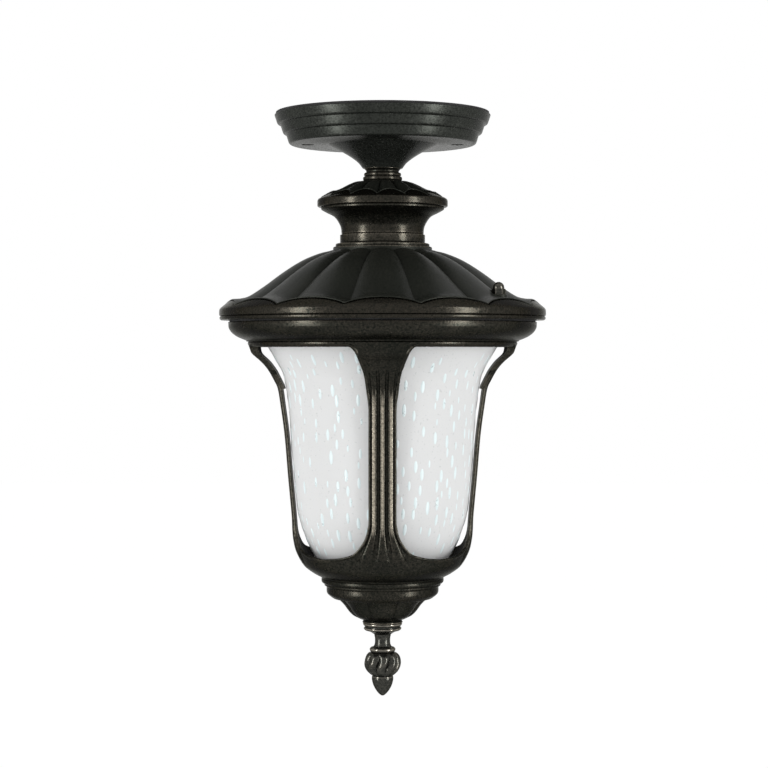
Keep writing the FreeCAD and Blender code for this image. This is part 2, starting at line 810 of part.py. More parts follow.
# The rib's outer line is shared by the brackets and the straps: depth below the ring, and how
# far the line stands out from the rib's waist.
RIB_LINE = [
    (0.0, 26.4),
    (3.0, 24.8),
    (7.0, 20.2),
    (10.6, 17.0),
    (14.5, 14.2),
    (20.0, 11.2),
    (25.0, 9.0),
    (36.0, 7.2),
    (54.0, 4.8),
    (80.0, 2.6),
    (104.0, 0.4),
    (113.0, 0.0),
    (120.0, -0.7),
    (127.5, -2.6),
    (135.2, -7.0),
    (140.0, -13.0),
    (143.0, -18.6),
]
# Half-width of a rib at each depth; below the windows it opens out into the bowl.
RIB_WIDTHS = [
    (-2.0, 11.6),
    (0.0, 10.8),
    (3.0, 7.9),
    (7.0, 6.0),
    (10.6, 4.4),
    (14.5, 3.0),
    (20.0, 2.0),
    (26.0, 1.2),
    (36.0, 0.0),
    (104.0, 0.0),
    (108.5, 0.6),
    (114.5, 2.2),
    (120.0, 5.7),
    (124.0, 9.5),
    (126.0, 14.2),
    (127.6, 21.0),
    (128.4, 42.0),
    (128.8, 60.0),
    (146.0, 60.0),
]
LAP_START = 4
LAP_END = 6
BOWL_END = len(RIB_LINE) - 1
rib_total = size("bracket_height") + size("strap_height") + size("bowl_depth")
rib_scale = rib_total / RIB_LINE[-1][0]
rib_r = size("rib_radius")
bracket_wall = size("bracket_wall")
tongue_wall = size("tongue_wall")
strap_in = reed_depth + strap_wall


def rib_point(number, inward):
    """A point of the rib's outer line, moved in by a given amount."""
    depth, out = RIB_LINE[number]
    return (rib_r + out - inward, rib_level - rib_scale * depth)


def rib_band(first, last, outer_in, inner_in):
    """A closed outline that follows the rib's line between two depths of material."""
    down = [rib_point(number, outer_in) for number in range(first, last + 1)]
    up = [rib_point(number, inner_in) for number in range(last, first - 1, -1)]
    return down + up


def prism(points, length, role):
    """An upright outline of half-width and level, extruded both ways across the lantern."""
    body = doc.addObject("PartDesign::Body", scratch_name("body"))
    sketch = outline(sketch_on(body, role, length * -1), points)
    pad = body.newObject("PartDesign::Pad", scratch_name("pad"))
    pad.Profile = sketch
    bind(pad, Length=length * 2)
    body.Tip = pad
    return body


def crossed_ribs(first, last):
    """The front-to-back and side-to-side prisms whose half-width is that of the ribs."""
    right = []
    for depth, extra in RIB_WIDTHS[first:last + 1]:
        right.append((half_w + extra, rib_level - rib_scale * depth))
    left = [(-across, level) for across, level in reversed(right)]
    span = ring_r + 10
    return fuse(prism(right + left, span, "XZ_Plane"), prism(right + left, span, "YZ_Plane"))


def rod(radius, start, length, azimuth, level):
    """A round rod that points outwards from the axis."""
    obj = doc.addObject("Part::Cylinder", scratch_name("rod"))
    bind(obj, Radius=radius, Height=length)
    angle = math.radians(azimuth)
    ahead = Vector(round(math.cos(angle), 9), round(math.sin(angle), 9), 0)
    obj.Placement = Placement(Vector(0, 0, 0), Rotation(Vector(0, 0, 1), ahead))
    return place(obj, start * ahead.x, start * ahead.y, level)


RIB_AZIMUTHS = (-90, 0, 90, 180)
rivet_r = size("rivet_radius")
rivet_line, rivet_level = rib_point(LAP_START + 1, 0)
rivet_start = rivet_line - strap_in - lap_gap - tongue_wall
rivet_length = strap_wall * 0.3 + lap_gap + tongue_wall
rivet_holes = []
for azimuth in RIB_AZIMUTHS:
    rivet_holes.append(rod(rivet_r + fit, rivet_start - 3, rivet_length + 3 + fit, azimuth, rivet_level))

tongue_in = strap_in + lap_gap
bracket_outline = [rib_point(number, 0) for number in range(0, LAP_START + 1)]
bracket_outline[0] = (rib_r + RIB_LINE[0][1], rib_level + 1)
bracket_outline += [rib_point(number, tongue_in) for number in range(LAP_START, LAP_END + 1)]
bracket_outline += [rib_point(number, tongue_in + tongue_wall) for number in range(LAP_END, 1, -1)]
bracket_outline += [rib_point(1, bracket_wall)]
bracket_outline += [(rib_r + RIB_LINE[0][1] - bracket_wall, rib_level + 1)]
brackets = common(turned(bracket_outline), crossed_ribs(0, 8))
stud_seats = [
    cylinder(stud_r + fit, flange_t + 1, stud_foot, stud_x * side, stud_y * side) for side in (-1, 1)]
lugs = []
for side in (-1, 1):
    lugs.append(cylinder(stud_r + 3, flange_t, stud_foot, stud_x * side, stud_y * side))
node(cut(fuse(cornice_ring, brackets, *lugs), *stud_seats, *rivet_holes), "cage_crown")

# ---------------------------------------------------------------- cage basket: straps, reeds, bowl, base
band_r = size("band_radius")
floor_t = size("bowl_floor")
finial_stud_r = size("finial_stud_radius")
stud_bore = finial_stud_r + fit
bowl_floor_level = band_level + floor_t
strap_shell = turned(rib_band(LAP_START, BOWL_END, reed_depth, strap_in))
straps = common(strap_shell, crossed_ribs(4, len(RIB_WIDTHS) - 1))
bowl_base = turned([
    (stud_bore, bowl_floor_level),
    (band_r + 1, bowl_floor_level),
    (band_r, band_level),
    (band_r, between(band_level, cup_level, 0.24)),
    (band_r - 1.8, between(band_level, cup_level, 0.28)),
    (band_r - 1.8, between(band_level, cup_level, 0.36)),
    (band_r - 3.2, between(band_level, cup_level, 0.40)),
    (band_r - 3.2, between(band_level, cup_level, 0.78)),
    (band_r - 4.0, between(band_level, cup_level, 0.92), "bow"),
    (band_r - 6.0, cup_level),
    (stud_bore, cup_level),
])
reed_shell = turned(rib_band(LAP_END, BOWL_END - 4, 0, reed_depth + strap_wall / 2))
reed_slabs = []
reed_top = rib_level
reed_length = size("bracket_height") + size("strap_height")
reed_span = (ring_r + 10) * 2
reed_w = size("reed_width")
for number in (-1, 0, 1):
    offset = size("reed_pitch") * number
    low = reed_top - reed_length
    reed_slabs.append(box(reed_w, reed_span, reed_length, offset, centre, low))
    reed_slabs.append(box(reed_span, reed_w, reed_length, centre, offset, low))
reeds = common(reed_shell, fuse(*reed_slabs))
node(cut(fuse(straps, bowl_base, reeds), *rivet_holes), "cage_basket")
node(fuse(*[rod(rivet_r, rivet_start, rivet_length, azimuth, rivet_level) for azimuth in RIB_AZIMUTHS]),
     "rib_rivets")

# ---------------------------------------------------------------- lower cup
cup_r = size("cup_radius")
cup_neck_r = size("cup_neck_radius")
node(turned([
    (stud_bore, cup_level),
    (cup_r - 1.0, cup_level),
    (cup_r - 0.8, between(cup_level, finial_level, 0.08)),
    (between(cup_neck_r, cup_r, 0.62), between(cup_level, finial_level, 0.42), "bow"),
    (between(cup_neck_r, cup_r, 0.36), between(cup_level, finial_level, 0.72)),
    (between(cup_neck_r, cup_r, 0.10), between(cup_level, finial_level, 0.82)),
    (cup_neck_r - 0.6, between(cup_level, finial_level, 0.86)),
    (cup_neck_r, finial_level),
    (stud_bore, finial_level),
]), "lower_cup")

# ---------------------------------------------------------------- finial, its stud, washer and nut
finial_end = finial_level - size("finial_length")
finial_flange = size("finial_flange")
flange_foot = finial_level - size("finial_flange_thick")
stem_r = size("finial_stem")
melon_r = size("melon_radius")
bury = size("finial_stud_bury")


def down_finial(share):
    """The level a given share of the way from the flange to the tip."""
    return between(flange_foot, finial_end, share)


node(turned([
    (stud_bore, finial_level),
    (finial_flange - 0.6, finial_level),
    (finial_flange, finial_level - 1.0, "bow"),
    (finial_flange - 0.8, finial_level - 2.0),
    (finial_flange - 0.8, flange_foot + 1.4),
    (finial_flange - 0.2, flange_foot + 0.7, "bow"),
    (finial_flange - 1.2, flange_foot),
    (stem_r + 1.2, flange_foot),
    (stem_r, down_finial(0.08)),
    (stem_r, down_finial(0.20)),
    (melon_r * 0.66, down_finial(0.265)),
    (melon_r * 0.72, down_finial(0.325)),
    (melon_r * 0.66, down_finial(0.34)),
    (melon_r, down_finial(0.50), "bow"),
    (melon_r * 0.58, down_finial(0.665)),
    (melon_r * 0.56, down_finial(0.69)),
    (melon_r * 0.56, down_finial(0.78)),
    (melon_r * 0.47, down_finial(0.85)),
    (melon_r * 0.36, down_finial(0.91)),
    (melon_r * 0.21, down_finial(0.965)),
    (0, finial_end),
    (0, finial_level - bury - 1),
    (stud_bore, finial_level - bury - 1),
]), "finial")
finial_washer_t = size("washer_thick")
finial_nut_h = size("finial_nut_height")
finial_stud_top = bowl_floor_level + finial_washer_t + finial_nut_h + 2
finial_stud_foot = finial_level - bury
node(cylinder(finial_stud_r, finial_stud_top - finial_stud_foot, finial_stud_foot), "finial_stud")
node(ring(finial_stud_r * 2 + 0.5, stud_bore, finial_washer_t, bowl_floor_level), "finial_washer")
finial_nut_level = bowl_floor_level + finial_washer_t
node(cut(
    hexagon(size("finial_nut_flats"), finial_nut_h, finial_nut_level),
    cylinder(stud_bore, finial_nut_h + 2, finial_nut_level - 1)), "finial_nut")

# ---------------------------------------------------------------- glass shade, lip gasket and foot seat
# Depth below the ring, and how far the glass stands out from its waist.
GLASS_LINE = [
    (-7.5, 21.6),
    (-3.5, 20.2),
    (0.0, 18.2),
    (7.0, 14.0),
    (14.5, 9.9),
    (22.0, 8.0),
    (29.5, 6.8),
    (44.6, 5.2),
    (63.7, 4.0),
    (80.0, 2.6),
    (93.0, 1.4),
    (105.2, -0.5),
    (117.8, -4.6),
    (126.5, -8.3),
]
glass_r = rib_r - strap_in - size("glass_rib_gap")
glass_wall = size("glass_wall")
seat_level = bowl_floor_level + size("seat_height")
foot_out = size("glass_foot_radius")
glass_outer = [(glass_r + out, rib_level - rib_scale * depth) for depth, out in GLASS_LINE]
glass_outer.append((foot_out, seat_level))
glass_inner = [(across - glass_wall, level) for across, level in reversed(glass_outer)]
node(turned(glass_outer + glass_inner), "glass_shade")
seat_width = size("seat_width")
node(ring(foot_out - 0.6, foot_out - 0.6 - seat_width, size("seat_height"), bowl_floor_level), "glass_seat")
ledge_level = rib_level + size("ledge_thick")
lip_r = glass_r + GLASS_LINE[0][1]
node(ring(flange_inner, lip_r + clear, size("seat_height") * 0.8, ledge_level), "glass_lip_gasket")

# ---------------------------------------------------------------- lampholder
holder_r = size("holder_radius")
holder_wall = size("holder_wall")
barrel_h = size("holder_barrel_height")
barrel_top = holder_level - holder_cap_h
barrel_foot = barrel_top - barrel_h
holder_in = holder_r - holder_wall
cap_roof = holder_level - size("holder_roof")
node(turned([
    (bore, holder_level),
    (holder_r * 0.5, holder_level),
    (holder_r * 0.88, between(holder_level, barrel_top, 0.22), "bow"),
    (holder_r, between(holder_level, barrel_top, 0.55)),
    (holder_r, barrel_top),
    (holder_in, barrel_top),
    (holder_in, between(holder_level, barrel_top, 0.55)),
    (holder_r * 0.5, cap_roof),
    (bore, cap_roof),
]), "lampholder_cap")
core_h = size("core_height")
core_level = barrel_top - core_h
terminal_x = size("core_terminal_x")
node(turned([
    (holder_in, barrel_top),
    (holder_r, barrel_top),
    (holder_r, between(barrel_top, barrel_foot, 0.55)),
    (holder_r - 1.2, between(barrel_top, barrel_foot, 0.58)),
    (holder_r - 1.2, barrel_foot),
    (holder_in - 1.2, barrel_foot),
    (holder_in - 1.2, between(barrel_top, barrel_foot, 0.58)),
    (holder_in, between(barrel_top, barrel_foot, 0.55)),
]), "lampholder_barrel")
lead_holes = [cylinder(lead_r + fit, 3, barrel_top - 2, terminal_x * side) for side in (-1, 1)]
node(cut(cylinder(holder_in - fit, core_h, core_level), *lead_holes), "lampholder_core")
shell_r = size("shell_radius")
shell_h = size("shell_height")
node(ring(shell_r, shell_r - size("shell_wall"), shell_h, core_level - shell_h), "screw_shell")
contact_h = size("contact_height")
contact_level = core_level - contact_h
node(fuse(
    cylinder(size("contact_pin_radius"), contact_h, contact_level),
    cylinder(size("contact_cap_radius"), size("contact_cap_thick"), contact_level)), "centre_contact")

# ---------------------------------------------------------------- lamp
lamp_top = contact_level - fit * 4
cap_r = size("lamp_cap_radius")
cap_low = lamp_top - size("lamp_cap_height")
lamp_low = lamp_top - size("lamp_length")
cap_wall = size("shell_wall")
lamp_r = size("lamp_radius")
neck_in = cap_r - cap_wall - 0.1
node(turned([
    (0, lamp_top),
    (cap_r * 0.34, lamp_top),
    (cap_r * 0.36, lamp_top - 1.2),
    (cap_r * 0.8, lamp_top - 3.2),
    (cap_r, lamp_top - 5),
    (cap_r, cap_low),
    (cap_r - cap_wall, cap_low),
    (cap_r - cap_wall, lamp_top - 5.4),
    (cap_r * 0.7, lamp_top - 4.4),
    (0, lamp_top - 2.4),
]), "lamp_cap")
belly = between(cap_low, lamp_low, 0.62)
bulb_wall = size("bulb_wall")
bulb_outer = [
    (neck_in, cap_low + 3),
    (neck_in, cap_low),
    (between(neck_in, lamp_r, 0.34), between(cap_low, lamp_low, 0.22), "bow"),
    (between(neck_in, lamp_r, 0.88), between(cap_low, lamp_low, 0.42)),
    (lamp_r, belly, "bow"),
    (between(neck_in, lamp_r, 0.60), between(cap_low, lamp_low, 0.88)),
    (lamp_r * 0.50, between(cap_low, lamp_low, 0.954)),
    (lamp_r * 0.26, between(cap_low, lamp_low, 0.988)),
    (0, lamp_low),
]
bulb_inner = [
    (0, lamp_low + bulb_wall),
    (lamp_r * 0.26 - 0.2, between(cap_low, lamp_low, 0.988) + bulb_wall),
    (lamp_r * 0.50 - 0.4, between(cap_low, lamp_low, 0.954) + bulb_wall),
    (between(neck_in, lamp_r, 0.60) - bulb_wall * 0.8, between(cap_low, lamp_low, 0.88) + bulb_wall * 0.6),
    (lamp_r - bulb_wall, belly, "bow"),
    (between(neck_in, lamp_r, 0.88) - bulb_wall, between(cap_low, lamp_low, 0.42)),
    (between(neck_in, lamp_r, 0.34) - bulb_wall, between(cap_low, lamp_low, 0.22), "bow"),
    (neck_in - bulb_wall, cap_low),
    (neck_in - bulb_wall, cap_low + 3),
]
node(turned(bulb_outer + bulb_inner), "lamp_bulb")

# ---------------------------------------------------------------- internal leads
lead_y = size("terminal_offset") + 2.2
tube_x = size("lead_offset")
bend_level = face_level + 10.5
entry_run = 7.0
for side, name in ((-1, "live"), (1, "neutral")):
    route = [
        (pitch * side, lead_y, lead_level),
        (pitch * side, lead_y - entry_run, lead_level),
        (pitch * side * 0.85, lead_y * 0.52, bend_level - 1),
        (tube_x * side, 0, bend_level),
        (tube_x * side, 0, cap_roof - 1.8),
        (terminal_x * side, 0, between(cap_roof, barrel_top, 0.68)),
        (terminal_x * side, 0, barrel_top - 1.6),
    ]
    node(tube(lead_r.value, route), "lead_" + name)
lug_x = earth_x * -1 + 7.5
lug_top = floor_level + lug_t + lead_r
earth_route = [
    (0, lead_y, lead_level),
    (0, lead_y - entry_run, lead_level),
    (-3.0, lead_y * 0.66, lug_top + 0.7),
    (-12.0, earth_y + 2.5, lug_top + 0.2),
    (-24.0, earth_y + 0.3, lug_top),
    (lug_x, earth_y, lug_top),
]
node(tube(lead_r.value, earth_route), "lead_earth")

# ---------------------------------------------------------------- check and write
doc.recompute()
for item in doc.Objects:
    if "Invalid" in item.State or "Error" in item.State:
        raise RuntimeError("failed object: %s %s" % (item.Name, item.State))
for item in nodes:
    if item.Shape.isNull() or not item.Shape.isValid() or item.Shape.Volume <= 0:
        raise RuntimeError("bad shape: " + item.Label)
for item in nodes:
    item.Shape.exportStep("parts/%s.step" % item.Label)
    print(item.Label, len(item.Shape.Solids), round(item.Shape.Volume, 1))
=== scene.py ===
import math
from contextlib import contextmanager

import bmesh
import bpy
import numpy as np
from mathutils import Matrix, Vector


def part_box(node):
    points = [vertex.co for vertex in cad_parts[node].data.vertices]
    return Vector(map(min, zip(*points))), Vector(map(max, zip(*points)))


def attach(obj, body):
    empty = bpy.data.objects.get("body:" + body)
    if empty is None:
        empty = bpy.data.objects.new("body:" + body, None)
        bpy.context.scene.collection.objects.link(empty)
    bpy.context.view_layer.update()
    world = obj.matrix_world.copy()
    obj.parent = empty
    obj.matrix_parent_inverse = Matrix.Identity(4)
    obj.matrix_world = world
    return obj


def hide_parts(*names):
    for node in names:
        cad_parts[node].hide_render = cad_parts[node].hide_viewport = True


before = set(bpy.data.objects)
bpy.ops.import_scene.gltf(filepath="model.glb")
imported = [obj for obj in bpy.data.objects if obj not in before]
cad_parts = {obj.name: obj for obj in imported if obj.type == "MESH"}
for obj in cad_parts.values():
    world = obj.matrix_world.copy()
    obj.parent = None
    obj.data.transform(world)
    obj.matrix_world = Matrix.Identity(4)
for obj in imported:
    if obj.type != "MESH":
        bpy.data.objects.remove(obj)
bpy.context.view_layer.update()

# The porch ceiling lantern. Lengths are millimetres until a mesh is made; azimuth is measured from
# the front (-Y) towards the right (+X).
MM = 0.001
TAU = 2 * math.pi


# --- levels and radii of the frame
def top(node):
    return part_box(node)[1].z / MM


def foot(node):
    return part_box(node)[0].z / MM


def reach(node):
    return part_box(node)[1].x / MM


rim_level = top("canopy")
collar_level = top("neck_collar")
crown_level = top("crown_cap")
cove_level = top("neck_cove")
roof_level = top("roof")
eave_level = foot("roof")
cornice_level = top("cage_crown")
cup_level = foot("cage_basket")
finial_level = top("finial")
finial_end = foot("finial")
canopy_radius = reach("canopy")
collar_radius = reach("neck_collar")
crown_radius = reach("crown_cap")
cove_radius = reach("neck_cove")
roof_radius = reach("roof")
cornice_radius = reach("cage_crown")
FIT = 0.05
tube_radius = reach("threaded_tube") + FIT
stud_radius = reach("finial_stud") + FIT

CORNICE_HEIGHT = 12.5
RING_HEIGHT = 4.5
ring_level = cornice_level - CORNICE_HEIGHT
rib_level = ring_level - RING_HEIGHT
RIB_RADIUS = 57.0
WALL = 2.8


# --- outlines
def smooth_line(points, per_span=6):
    """A soft line through every point, with the same number of steps between each pair."""
    line = np.array(points, float)
    before = np.vstack([2 * line[0] - line[1], line[:-1]])
    after = np.vstack([line[1:], 2 * line[-1] - line[-2]])
    result = []
    for number in range(len(line) - 1):
        p0, p1, p2, p3 = before[number], line[number], line[number + 1], after[number + 1]
        for step in range(per_span):
            t = step / per_span
            result.append(0.5 * (
                2 * p1 + (p2 - p0) * t + (2 * p0 - 5 * p1 + 4 * p2 - p3) * t * t
                + (3 * p1 - p0 - 3 * p2 + p3) * t ** 3))
    result.append(line[-1])
    return [tuple(point) for point in result]


def rounded(points, steps=4):
    """A line whose corners are eased: a point's third number is how far the easing reaches."""
    flat = [np.array(point[:2], float) for point in points]
    result = []
    for number, point in enumerate(points):
        ease = point[2] if len(point) > 2 else 0.0
        if ease <= 0 or number in (0, len(points) - 1):
            result.append(tuple(flat[number]))
            continue
        corner, back, ahead = flat[number], flat[number - 1], flat[number + 1]
        back_length = np.linalg.norm(back - corner)
        ahead_length = np.linalg.norm(ahead - corner)
        start = corner + (back - corner) / back_length * min(ease, back_length * 0.48)
        end = corner + (ahead - corner) / ahead_length * min(ease, ahead_length * 0.48)
        for step in range(steps + 1):
            t = step / steps
            result.append(tuple((1 - t) ** 2 * start + 2 * t * (1 - t) * corner + t * t * end))
    return result


def placed(radius, level, points):
    """Points given from one radius and level, with any easing kept."""
    return [(radius + point[0], level + point[1], *point[2:]) for point in points]


def between(start, end, share):
    return start + (end - start) * share


def eased(value, low, high):
    """Rises softly from 0 to 1 as the value goes from low to high."""
    t = np.clip((np.asarray(value, float) - low) / (high - low), 0, 1)
    return t * t * (3 - 2 * t)


# --- meshes
def polar(radius, azimuth, level):
    radius, azimuth, level = np.broadcast_arrays(radius, azimuth, level)
    return np.stack([radius * np.sin(azimuth), -radius * np.cos(azimuth), level], axis=-1) * MM


@contextmanager
def edited(mesh):
    """The mesh opened for changes, which are written back at the end."""
    work = bmesh.new()
    work.from_mesh(mesh)
    yield work
    work.to_mesh(mesh)
    work.free()


def tidy_mesh(mesh, merge=2e-6, outward=True):
    """Merges doubles, closes seams and turns every face outwards."""
    with edited(mesh) as work:
        bmesh.ops.remove_doubles(work, verts=work.verts, dist=merge)
        bmesh.ops.dissolve_degenerate(work, edges=work.edges, dist=1e-7)
        if outward:
            bmesh.ops.recalc_face_normals(work, faces=work.faces)
            if work.calc_volume(signed=True) < 0:
                bmesh.ops.reverse_faces(work, faces=work.faces)


def linked(name, mesh):
    piece = bpy.data.objects.new(name, mesh)
    bpy.context.scene.collection.objects.link(piece)
    return piece


def grid_object(name, points, close_rows=False, close_columns=False, tidy=True):
    """A surface over rows and columns of points."""
    rows, columns = points.shape[:2]
    numbers = np.arange(rows * columns).reshape(rows, columns)
    if close_rows:
        numbers = np.vstack([numbers, numbers[:1]])
    if close_columns:
        numbers = np.hstack([numbers, numbers[:, :1]])
    quads = np.stack([numbers[:-1, :-1], numbers[:-1, 1:], numbers[1:, 1:], numbers[1:, :-1]], axis=-1)
    mesh = bpy.data.meshes.new(name)
    mesh.from_pydata(points.reshape(-1, 3).tolist(), [], quads.reshape(-1, 4).tolist())
    if tidy:
        tidy_mesh(mesh)
    return linked(name, mesh)


def lathe(name, outline, segments=160, shaped=None, sheet=False):
    """An outline of radius and level turned about the axis; it is closed unless it is a sheet."""
    profile = np.array(outline, float)
    azimuth = np.arange(segments) * TAU / segments
    radius = profile[:, 0][:, None] * np.ones(segments)
    level = profile[:, 1][:, None] * np.ones(segments)
    if shaped:
        radius, level = shaped(radius, level, azimuth[None, :])
    closed = not sheet and (profile[0, 0] > 0 or profile[-1, 0] > 0)
    return grid_object(name, polar(radius, azimuth[None, :], level), close_rows=closed, close_columns=True)


def join(name, *pieces):
    """One piece from several closed shells."""
    mesh = bpy.data.meshes.new(name)
    with edited(mesh) as work:
        for piece in pieces:
            work.from_mesh(piece.data)
            bpy.data.objects.remove(piece)
    return linked(name, mesh)


def cut_away(piece, *tools):
    """Takes the tools' shapes out of the piece."""
    for tool in tools:
        cutter = piece.modifiers.new("cut", "BOOLEAN")
        cutter.operation = "DIFFERENCE"
        cutter.solver = "EXACT"
        cutter.object = tool
    settled = bake_modifiers(piece)
    for tool in tools:
        bpy.data.objects.remove(tool)
    return settled


def bake_modifiers(piece):
    """The evaluated shape as a plain mesh, with no modifier left."""
    bpy.context.view_layer.update()
    graph = bpy.context.evaluated_depsgraph_get()
    mesh = bpy.data.meshes.new_from_object(piece.evaluated_get(graph))
    piece.modifiers.clear()
    piece.data = mesh
    return piece


# --- trees for what repeats
def wired(tree, kind, links=(), **settings):
    """A node with its settings; an input is linked to a socket or a node, or set to a plain value."""
    node = tree.nodes.new(kind)
    for name, value in settings.items():
        setattr(node, name, value)
    for socket, source in dict(links).items():
        if isinstance(source, bpy.types.Node):
            source = source.outputs[0]
        if isinstance(source, bpy.types.NodeSocket):
            tree.links.new(source, node.inputs[socket])
        else:
            node.inputs[socket].default_value = source
    return node


class Tree:
    """A Geometry Nodes tree with named inputs."""

    def __init__(self, name):
        self.group = bpy.data.node_groups.new(name, "GeometryNodeTree")
        self.group.is_modifier = True
        self.group.interface.new_socket(name="Geometry", in_out="INPUT", socket_type="NodeSocketGeometry")
        self.group.interface.new_socket(name="Geometry", in_out="OUTPUT", socket_type="NodeSocketGeometry")
        self.inputs = self.group.nodes.new("NodeGroupInput")
        self.outputs = self.group.nodes.new("NodeGroupOutput")
        self.names = {}

    def entry(self, name, kind):
        socket = self.group.interface.new_socket(name=name, in_out="INPUT", socket_type="NodeSocket" + kind)
        self.names[name] = socket.identifier
        return self.inputs.outputs[name]

    def node(self, kind, links=(), **settings):
        return wired(self.group, kind, links, **settings)

    def finish(self, geometry):
        self.group.links.new(geometry, self.outputs.inputs["Geometry"])

    def run(self, piece, **values):
        modifier = piece.modifiers.new(self.group.name, "NODES")
        modifier.node_group = self.group
        for name, value in values.items():
            modifier[self.names[name]] = value
        return bake_modifiers(piece)


def ring_tree():
    """Copies a sector round the axis and closes the seams between the copies."""
    tree = Tree("ring_of_copies")
    count = tree.entry("Count", "Int")
    turn = tree.entry("Turn", "Float")
    seam = tree.entry("Seam", "Float")
    finish = tree.entry("Finish", "Material")
    points = tree.node("GeometryNodePoints", {"Count": count})
    index = tree.node("GeometryNodeInputIndex")
    share = tree.node("ShaderNodeMath", {0: index, 1: count}, operation="DIVIDE")
    angle = tree.node("ShaderNodeMath", {0: share, 1: TAU, 2: turn}, operation="MULTIPLY_ADD")
    euler = tree.node("ShaderNodeCombineXYZ", {"Z": angle})
    rotation = tree.node("FunctionNodeEulerToRotation", {0: euler})
    sector = tree.node("GeometryNodeGeometryToInstance", {0: tree.inputs.outputs["Geometry"]})
    copies = tree.node("GeometryNodeInstanceOnPoints", {
        "Points": points, "Instance": sector, "Rotation": rotation})
    real = tree.node("GeometryNodeRealizeInstances", {"Geometry": copies})
    merged = tree.node("GeometryNodeMergeByDistance", {"Geometry": real, "Distance": seam})
    done = tree.node("GeometryNodeSetMaterial", {"Geometry": merged, "Material": finish})
    tree.finish(done.outputs[0])
    return tree


RING = ring_tree()
SEAM = 4e-6


def ring_of(sector, count, material, turn=0.0, seam=SEAM):
    RING.run(sector, Count=count, Turn=turn, Seam=seam, Finish=material)
    tidy_mesh(sector.data)
    return sector


def opposite_pair(piece, material):
    """The piece and its copy half a turn on, with nothing merged."""
    return RING.run(piece, Count=2, Turn=0.0, Seam=1e-7, Finish=material)


# --- worn edges and painted shade read from the shape
def read(items, name, width, kind=float):
    """One row of numbers for each vertex or edge."""
    values = np.empty(len(items) * width, kind)
    items.foreach_get(name, values)
    return values.reshape(-1, width)


def write(mesh, name, value):
    """A number for each point, kept on the mesh for its finish to read."""
    layer = mesh.attributes.get(name) or mesh.attributes.new(name, "FLOAT", "POINT")
    layer.data.foreach_set("value", value.astype(np.float32))


def mark_wear_and_shade(mesh, low=0.12, high=0.75, spread=2):
    """Writes how far each point stands on an edge (raised), for worn edges, or sits in a corner (hollow), for
    painted shade, 0 to 1.
    """
    count = len(mesh.vertices)
    place = read(mesh.vertices, "co", 3) / MM
    normal = read(mesh.vertices, "normal", 3)
    first, second = read(mesh.edges, "vertices", 2, int).T
    run = np.maximum(np.linalg.norm(place[first] - place[second], axis=1), 0.02)
    lean = np.einsum("ij,ij->i", place[first] - place[second], normal[first]) / run ** 2
    lean_back = np.einsum("ij,ij->i", place[second] - place[first], normal[second]) / run ** 2
    bend = np.zeros(count)
    touch = np.zeros(count)
    np.add.at(bend, first, lean * run)
    np.add.at(bend, second, lean_back * run)
    np.add.at(touch, first, run)
    np.add.at(touch, second, run)
    bend = 2 * bend / np.maximum(touch, 1e-9)
    links = np.bincount(first, minlength=count) + np.bincount(second, minlength=count)
    for name, value in (("raised", eased(bend, low, high)), ("hollow", eased(-bend, low, high))):
        for _ in range(spread):
            around = np.zeros(count)
            np.add.at(around, first, value[second])
            np.add.at(around, second, value[first])
            value = 0.5 * value + 0.5 * around / np.maximum(links, 1)
        write(mesh, name, value)


def spare_joint(piece, level, depth=1.2):
    """Takes the worn edges off a fitted joint, which is filled and blackened with the rest."""
    layer = piece.data.attributes["raised"]
    for vert in piece.data.vertices:
        if abs(vert.co.z / MM - level) < depth:
            layer.data[vert.index].value = 0.0


def rub_and_highlight(piece, amount):
    """Writes where the dark coat is worn back and where a highlight is painted; amount reads a point's
    radius, azimuth and level.
    """
    x, y, level = (read(piece.data.vertices, "co", 3) / MM).T
    write(piece.data, "rubbed_and_highlit", amount(np.hypot(x, y), np.arctan2(x, -y), level))


def band(level, low, high, soft=0.5):
    """1 between two levels and 0 beyond them."""
    return eased(level, low - soft, low + soft) * (1 - eased(level, high - soft, high + soft))


def dress(piece, body, nodes, material=None, sharp=38.0, wear_and_shade=True):
    """Smooth shading, worn edges and painted shade in hollows, finish, and what the piece stands for."""
    mesh = piece.data
    if material is not None:
        mesh.materials.clear()
        mesh.materials.append(material)
    mesh.shade_smooth()
    mesh.set_sharp_from_angle(angle=math.radians(sharp))
    if wear_and_shade:
        mark_wear_and_shade(mesh)
    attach(piece, body)
    if nodes:
        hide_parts(*nodes)
    return piece


